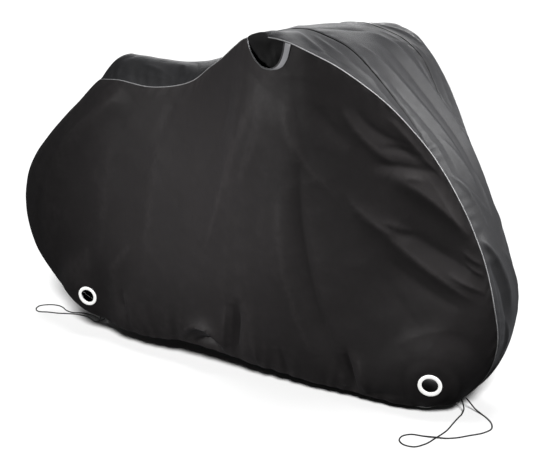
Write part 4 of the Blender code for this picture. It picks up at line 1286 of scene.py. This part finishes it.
def vent_dip(station):
    """How far the vent's U takes the side panel's top edge down, as a share of the height."""
    across = np.clip((np.asarray(station) - VENT_STATION) / VENT_HALF, -1, 1)
    across = across - VENT_SKEW * (1 - across**2)
    return VENT_DEPTH * np.sqrt(1 - np.minimum(np.abs(across), 1) ** VENT_ROUNDNESS)


def under_piping(station, room=PIPING_ROOM):
    """The share of the height at which a cloth stops, at a distance from the piping's centre line."""
    station = np.asarray(station, float)
    step = 1e-3
    rise = (stretched_wall(station, np.ones_like(station)) - stretched_wall(station, 1 - step)) / step
    tangent = unit(piping(np.clip(station + step, 0, 1)) - piping(np.clip(station - step, 0, 1)))
    return 1 - room / np.linalg.norm(np.cross(rise, tangent), axis=-1)


def rolled_hem(wall):
    """The hem's roll: from inside the wall's foot, down under it and out to it."""
    rise, outward = unit(wall[:, 1] - wall[:, 0]), grid_normal(wall)[:, 0]
    centre = wall[:, 0] - outward * HEM_ROLL
    roll = np.stack([centre + outward * HEM_ROLL * math.cos(a) - rise * HEM_ROLL * math.sin(a)
                     for a in np.radians(ROLL_TURN)], axis=1)
    roll[0, :, 1] = np.minimum(roll[0, :, 1], BACK_EDGE)
    return roll


def cut_eyelets(grid, normal):
    """Marks the cells that stay, and draws the rim of each hole into a true circle."""
    keep = np.ones((grid.shape[0] - 1, grid.shape[1] - 1), bool)
    for which in EYELETS:
        centre, outward = eyelet_frame(which)
        offset = grid - centre
        deep = offset @ outward
        level = offset - deep[..., None] * outward
        radius = np.linalg.norm(level, axis=-1) + (np.abs(deep) > HOLE_DEPTH)
        gone = radius < HOLE_RADIUS + HOLE_MARGIN
        cut = gone[:-1, :-1] | gone[1:, :-1] | gone[:-1, 1:] | gone[1:, 1:]
        keep &= ~cut
        touched = np.zeros(radius.shape, bool)
        for a, b in ((0, 0), (0, 1), (1, 0), (1, 1)):
            touched[a:a + cut.shape[0], b:b + cut.shape[1]] |= cut
        rim = touched & ~gone
        grid[rim] = centre + level[rim] * (HOLE_RADIUS / radius[rim])[..., None]
        normal[rim] = outward
    return keep


def build_side_panel(side):
    stations = even_stations(PANEL_STATIONS)
    top = under_piping(stations) - vent_dip(stations)
    # The rows lie closer together towards the hem and the piping.
    share = np.linspace(0, 1, PANEL_ROWS)
    share = 0.6 * share + 0.4 * (0.5 - 0.5 * np.cos(math.pi * share))
    tall = np.linalg.norm(piping(stations) - hem(stations), axis=-1)
    foot = HEM_ROLL / tall
    station = np.repeat(stations[:, None], len(share), axis=1)
    height = foot[:, None] + (top - foot)[:, None] * share
    wall = draped_wall(side, station, height)
    wall[0, :, 1] = BACK_EDGE
    roll = rolled_hem(wall)
    grid = np.concatenate([roll, wall], axis=1)
    normal = grid_normal(grid)
    normal[0] = (-1.0, 0.0, 0.0)
    keep = cut_eyelets(grid, normal)
    above, below = height * tall[:, None], (top[:, None] - height) * tall[:, None]
    edges = np.ones(grid.shape[:2])
    first = roll.shape[1]
    edges[:, first:] = np.maximum(np.exp(-above / HEM_RUB), np.exp(-below / PIPING_RUB))
    panel = cloth_piece(f"side_cloth_{side}", grid, normal, CLOTH, SIDE_NYLON, side, keep,
                        wear_and_crest_highlight(grid, normal, edges))
    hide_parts(f"side_panel_{side}", f"eyelet_patch_{side}_front", f"eyelet_patch_{side}_rear")
    wall, outward = grid[:, first:], normal[:, first:]
    lines = [line_from_edge(wall, outward, HEM_STITCHES)]
    clear = VENT_HALF * VENT_CLEAR
    for rows in (stations < VENT_STATION - clear, stations > VENT_STATION + clear):
        lines.append(line_from_edge(wall[rows], outward[rows], PANEL_STITCHES, end=1))
    lines.append(line_from_back(wall[:, :-1], outward[:, :-1], EDGE_STITCHES))
    return panel, add_stitching(f"stitching_{side}", lines, side)


def build_ring(side, which):
    centre, outward = eyelet_frame(which)
    half = np.stack([RING_PROFILE["radius"], RING_PROFILE["height"]], axis=1)
    profile = np.concatenate([half, half[:0:-1] * (1, -1)])
    points, faces = turned(profile, RING_TURNS, centre, outward)
    faces = [face[::-1] for face in faces]
    ring = add_mesh(f"ring_{side}_{which}", points, faces, RING_PLASTIC, side, RING_SHARP)
    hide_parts(f"eyelet_ring_{side}_{which}")
    return ring


def beside_gusset(station, blend_length):
    """1 where a gusset lies beside the strip, and 0 where the piping does."""
    first, last = GUSSET_TIPS
    return fade(station, last - blend_length, last) - fade(station, first, first + blend_length)


def strip_edge(station):
    """The strip's right edge: on the piping, or on the gusset's seam where a gusset lies between them."""
    beside = beside_gusset(station, SEAM_BLEND)
    seam = along(STRIP_SEAM, "xyz", np.clip(station, *GUSSET_TIPS))
    edge = seam * beside[:, None] + piping(station) * (1 - beside)[:, None]
    return edge, SEAM_ROOM * beside + PIPING_ROOM * (1 - beside)


def groove(inset):
    """How deep the cloth is drawn in, at a distance from the dark seam."""
    return GROOVE_DEPTH * np.exp(-(inset / GROOVE_WIDTH) ** 2)


def square_step(toward, tangent):
    """Unit steps toward a place, square to a line's tangent."""
    tangent = unit(tangent)
    return unit(toward - tangent * np.sum(toward * tangent, axis=-1, keepdims=True))


def build_strip():
    stations = np.unique(np.concatenate([np.linspace(*STRIP_SPAN, STRIP_STATIONS), GUSSET_TIPS]))
    edge_line, back = strip_edge(stations)
    middle = crown(stations)
    edge = edge_line + square_step(middle - edge_line, np.gradient(edge_line, axis=0)) * back[:, None]
    # The places across lie closer together towards both edges.
    u = np.linspace(-1, 1, STRIP_PLACES)
    spread = 0.45 * u + 0.55 * np.sin(math.pi * u / 2)
    across = np.abs(spread)[None, :, None]
    fall = across**STRIP_ROUNDNESS
    grid = middle[:, None] + (edge - middle)[:, None] * np.concatenate([fall, across, fall], axis=-1)
    grid[..., 1] *= -np.sign(spread)
    rear = piping(stations[0] * np.abs(spread[1:-1]))
    rear[:, 1] *= -np.sign(spread[1:-1])
    grid[0, 1:-1] = rear + square_step(grid[1, 1:-1] - rear, np.gradient(rear, axis=0)) * back[0]
    half = np.abs(edge[:, 1])
    station = np.repeat(stations[:, None], len(spread), axis=1)
    lift = top_folds(station, spread * half[:, None], stations, half, STRIP_FOLDS)
    lift += unevenness(grid, seed_of("strip", "right")) * np.clip(half / 0.1, 0.3, 1)[:, None]
    lift *= ease(1 - np.abs(spread), STRIP_EDGE_EASE) * ease(stations - stations[0], STRIP_REAR_EASE)[:, None]
    inset = (1 - np.abs(spread)) * half[:, None]
    length = np.interp(stations, LONG, PIPING_LENGTH)
    depth, reach, wave = STRIP_GATHERS
    for end, side in ((-1, "right"), (1, "left")):
        near = pucker(inset, reach) * (np.sign(spread) == end)
        lift += depth * gathers(near, length, wave, seed_of("strip seam", side))
    lift -= groove(inset) * beside_gusset(stations, GROOVE_BLEND)[:, None]
    grid = grid + grid_normal(grid) * lift[..., None]
    normal = grid_normal(grid)
    strip = cloth_piece("strip_cloth", grid, normal, CLOTH, TOP_NYLON,
                        wear_and_painted_light=wear_and_crest_highlight(grid, normal, np.exp(-inset / PIPING_RUB)))
    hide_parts("centre_strip")
    lines = [line_from_edge(grid, normal, EDGE_STITCHES, end) for end in (0, 1)]
    lines.append(line_from_back(grid[:-1], normal[:-1], EDGE_STITCHES))
    return strip, add_stitching("stitching_strip", lines)


def build_gusset(side):
    stations = np.linspace(*GUSSET_TIPS, GUSSET_STATIONS)
    inner, outer = along(STRIP_SEAM, "xyz", stations), piping(stations)
    across = outer - inner
    width = np.linalg.norm(across, axis=-1)
    low, high = SEAM_ROOM / width, 1 - PIPING_ROOM / width
    share = np.linspace(1, 0, GUSSET_PLACES)
    place = low[:, None] + (high - low)[:, None] * share
    peak, rise = GUSSET_RISE[side]
    # The rise peaks at three quarters of the width, where the factor 9.5 brings its curve to 1.
    lift = rise * np.exp(-((stations - peak) / GUSSET_RISE_REACH) ** 2)
    grid = inner[:, None] + across[:, None] * place[..., None]
    grid[..., 2] += (lift[:, None] * 9.5 * place**3 * (1 - place)
                     - (GUSSET_SAG * width)[:, None] * 4 * place * (1 - place))
    station = np.repeat(stations[:, None], len(share), axis=1)
    from_seam, from_piping = place * width[:, None], (1 - place) * width[:, None]
    more = top_folds(station, from_seam, stations, width, GUSSET_FOLDS[side])
    more += GUSSET_UNEVENNESS * unevenness(grid, seed_of("gusset", side))
    more *= ease(np.minimum(place, 1 - place), GUSSET_EDGE_EASE)
    more *= (ease(np.abs(inner[:, 1]), STRIP_NARROW) * ease(width, GUSSET_NARROW))[:, None]
    length = np.interp(stations, LONG, PIPING_LENGTH)
    depth, reach, wave = GUSSET_GATHERS
    more += depth * gathers(pucker(from_piping, reach), length, wave, seed_of("gusset seam", side))
    more -= groove(from_seam) * ease(width, GROOVE_NARROW)[:, None]
    grid = grid + grid_normal(grid) * more[..., None]
    normal = grid_normal(grid)
    edges = np.maximum(np.exp(-from_seam / SEAM_RUB), np.exp(-from_piping / PIPING_RUB))
    gusset = cloth_piece(f"gusset_cloth_{side}", grid, normal, CLOTH, TOP_NYLON, side,
                         wear_and_painted_light=wear_and_crest_highlight(grid, normal, edges))
    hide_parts(f"gusset_{side}")
    wide = width > GUSSET_STITCHED
    lines = [line_from_edge(grid[wide], normal[wide], EDGE_STITCHES, end) for end in (0, 1)]
    return gusset, add_stitching(f"stitching_gusset_{side}", lines, side)


def build_seam(side):
    """The turned edge that stands in the seam between the strip and a gusset, in nylon painted dark as the
    seam's shade.
    """
    stations = np.linspace(GUSSET_TIPS[0] + 0.002, GUSSET_TIPS[1] - 0.002, SEAM_STATIONS)
    points = swayed(along(STRIP_SEAM, "xyz", stations), np.interp(stations, LONG, CROWN_LENGTH), *SEAM_SWAY,
                    seed_of("dark seam", side))
    points[:, 2] -= SEAM_DROP
    return tube(f"seam_{side}", points, SEAM_RADIUS, SHADED_NYLON, side)


def build_piping(side):
    stations = np.linspace(0, PIPING_STOP, PIPING_STATIONS)
    points = swayed(piping(stations), np.interp(stations, LONG, PIPING_LENGTH), *PIPING_SWAY,
                    seed_of("piping", side))
    points[0, 1] = -PIPING_END
    points[:, 1] = np.minimum(points[:, 1], -PIPING_END)
    welt = tube(f"welt_{side}", points, PIPING_RADIUS, WELT, side)
    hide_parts(f"piping_{side}")
    return welt


def build_vent_tape(side):
    """The reflective tape round the U, and the bound lip of the U itself."""
    turn = np.linspace(*TAPE_SPAN, TAPE_STATIONS)
    station = VENT_STATION - VENT_HALF * np.cos(turn * math.pi)
    height = under_piping(station) - vent_dip(station)
    edge = draped_wall(side, station, height)
    outward = wall_normal(side, station, height)
    away = unit(np.cross(np.gradient(edge, axis=0), outward))
    width, back, bright = (np.interp(turn, TAPE_COURSE["turn"], TAPE_COURSE[name])[:, None]
                           for name in ("width", "back", "bright"))
    rows = []
    for share in TAPE_ROWS:
        crown_lift = TAPE_CROWN * math.sin(math.pi * share)
        rows.append(edge + away * (back + width * share) + outward * (CLOTH / 2 + TAPE / 2 + crown_lift))
    grid = np.stack(rows[::-1], axis=1)
    normal = np.repeat(outward[:, None], grid.shape[1], axis=1)
    # The tape's painted reflection, bright on its legs and dull round the bottom, goes to the mesh as painted
    # light.
    wear_and_painted_light = np.repeat(bright, grid.shape[1], axis=1)
    tape = cloth_piece(f"tape_{side}", grid, normal, TAPE, VENT_TAPE, side, wear_and_painted_light=wear_and_painted_light)
    lip = tube(f"vent_lip_{side}", edge + outward * LIP_LIFT, LIP_RADIUS, LIP, side)
    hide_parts(f"vent_tape_{side}")
    return tape, lip


def build_vent_pocket(side):
    """The cloth behind the U, painted dark as shade. It swells over the piping at the rear and falls in folds
    inside.
    """
    across = np.linspace(-1, 1, POCKET_PLACES)
    station = VENT_STATION + VENT_HALF * POCKET_SPREAD * across
    bead = piping(station)
    tangent = unit(np.gradient(bead, axis=0))
    top = under_piping(station, POCKET_TOP)
    face = wall_normal(side, station, top)
    upward = unit(np.cross(face, tangent))
    upward *= np.sign(upward[:, 2:3])
    swell = np.interp(across, *POCKET_SWELL)
    swell = np.convolve(np.pad(swell, 2, "edge"), np.ones(5) / 5, "valid")[:, None]
    reach = np.interp(across, *POCKET_REACH)[:, None]
    if side == "left":
        reach, swell = reach * 0, swell * LEFT_SWELL
    rows = []
    for k, (rise, out) in enumerate(POCKET_COURSE):
        low = bead - upward * (POCKET_UNDER + POCKET_STEP * k) - face * POCKET_BEHIND
        rows.append(low + (bead + upward * (rise + max(rise, 0) * reach) + face * out - low) * swell)
    share = np.linspace(POCKET_START, 1, POCKET_ROWS)
    height = (top - POCKET_LAP * swell[:, 0])[:, None] - POCKET_DROP * share
    column = np.repeat(station[:, None], len(share), axis=1)
    wall, normal = draped_wall(side, column, height), wall_normal(side, column, height)
    aside = across[:, None]
    hollow = (1 - np.abs(aside) ** 3) * np.sin(math.pi * np.minimum(1.0, share * 0.62)) ** 1.3
    folds = hollow * sum(depth * np.sin(aside * pace + share * down + start)
                         for depth, pace, down, start in POCKET_WAVES)
    inside = wall - normal * (POCKET_SETBACK + POCKET_DEPTH * hollow + folds)[..., None]
    rows += [inside[:, k] for k in range(len(share))]
    grid = np.stack(rows[::-1], axis=1)
    for _ in range(3):
        grid[:, 1:-1] = (grid[:, 1:-1] * 2 + grid[:, :-2] + grid[:, 2:]) / 4
    normal = grid_normal(grid)
    pocket = cloth_piece(f"pocket_{side}", grid, normal, CLOTH, SHADED_NYLON, side,
                         wear_and_painted_light=wear_and_crest_highlight(grid, normal, np.zeros(grid.shape[:2])))
    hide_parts(f"vent_pocket_{side}")
    return pocket


# The floor and the lights.

def add_floor():
    mesh = bpy.data.meshes.new("floor")
    z, half = -HOLD[2], FLOOR_HALF
    corners = [(-half, -half, z), (half, -half, z), (half, half, z), (-half, half, z)]
    mesh.from_pydata(corners, [], [(0, 1, 2, 3)])
    floor = add_object("floor", mesh)
    material, tree, shader, place = new_material("pale floor")
    tone = noise_of(tree, place, 1.5, 2.0)
    fill(tree, shader.inputs["Base Color"], blend(tree, tone, (0.78, 0.78, 0.78), (0.81, 0.81, 0.81)))
    shader.inputs["Roughness"].default_value = 0.9
    shader.inputs["Specular IOR Level"].default_value = 0.0
    mesh.materials.append(material)
    floor.visible_diffuse = floor.visible_glossy = False
    floor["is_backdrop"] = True
    return floor


def add_light(name, kind, strength, direction, lit):
    """A lamp or sun that shines along the direction, only on what is in the collection `lit`."""
    data = bpy.data.lights.new(name, kind)
    data.energy = strength
    light = add_object(name, data)
    light.rotation_euler = direction.to_track_quat("-Z", "Y").to_euler()
    light.light_linking.receiver_collection = lit
    return light, data


def build_stage():
    floor = add_floor()
    world = bpy.data.worlds.new("studio")
    bpy.context.scene.world = world
    world.use_nodes = True
    world.node_tree.nodes["Background"].inputs["Color"].default_value = (1.0, 1.0, 1.0, 1)
    world.node_tree.nodes["Background"].inputs["Strength"].default_value = WORLD_LIGHT
    lit = {name: bpy.data.collections.new(name) for name in ("cover", "floor")}
    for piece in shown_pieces():
        lit["cover"].objects.link(piece)
        if piece.name.startswith("ring_"):
            lit["floor"].objects.link(piece)
    lit["floor"].objects.link(floor)
    for name, place, aim, size, power, spread in LAMPS:
        lamp, data = add_light(name, "AREA", power, Vector(aim) - Vector(place), lit["cover"])
        data.shape = "RECTANGLE"
        data.size, data.size_y = size
        data.spread = math.radians(spread)
        lamp.location = Vector(place) - Vector(HOLD)
        lamp.visible_camera = False
    for name, direction, strength, width, target in SUNS:
        _, data = add_light(name, "SUN", strength, -Vector(direction), lit[target])
        data.angle = math.radians(width)
    bpy.context.scene.view_settings.view_transform = "Standard"


def main():
    add_camera()
    for end in CORD_ROUTES:
        build_cord(end)
    strip, strip_thread = build_strip()
    for side in ("right", "left"):
        panel, thread = build_side_panel(side)
        rings = [build_ring(side, which) for which in EYELETS]
        welt = build_piping(side)
        tape, lip = build_vent_tape(side)
        gusset, gusset_thread = build_gusset(side)
        seam = build_seam(side)
        pocket = build_vent_pocket(side)
    build_stage()


main()
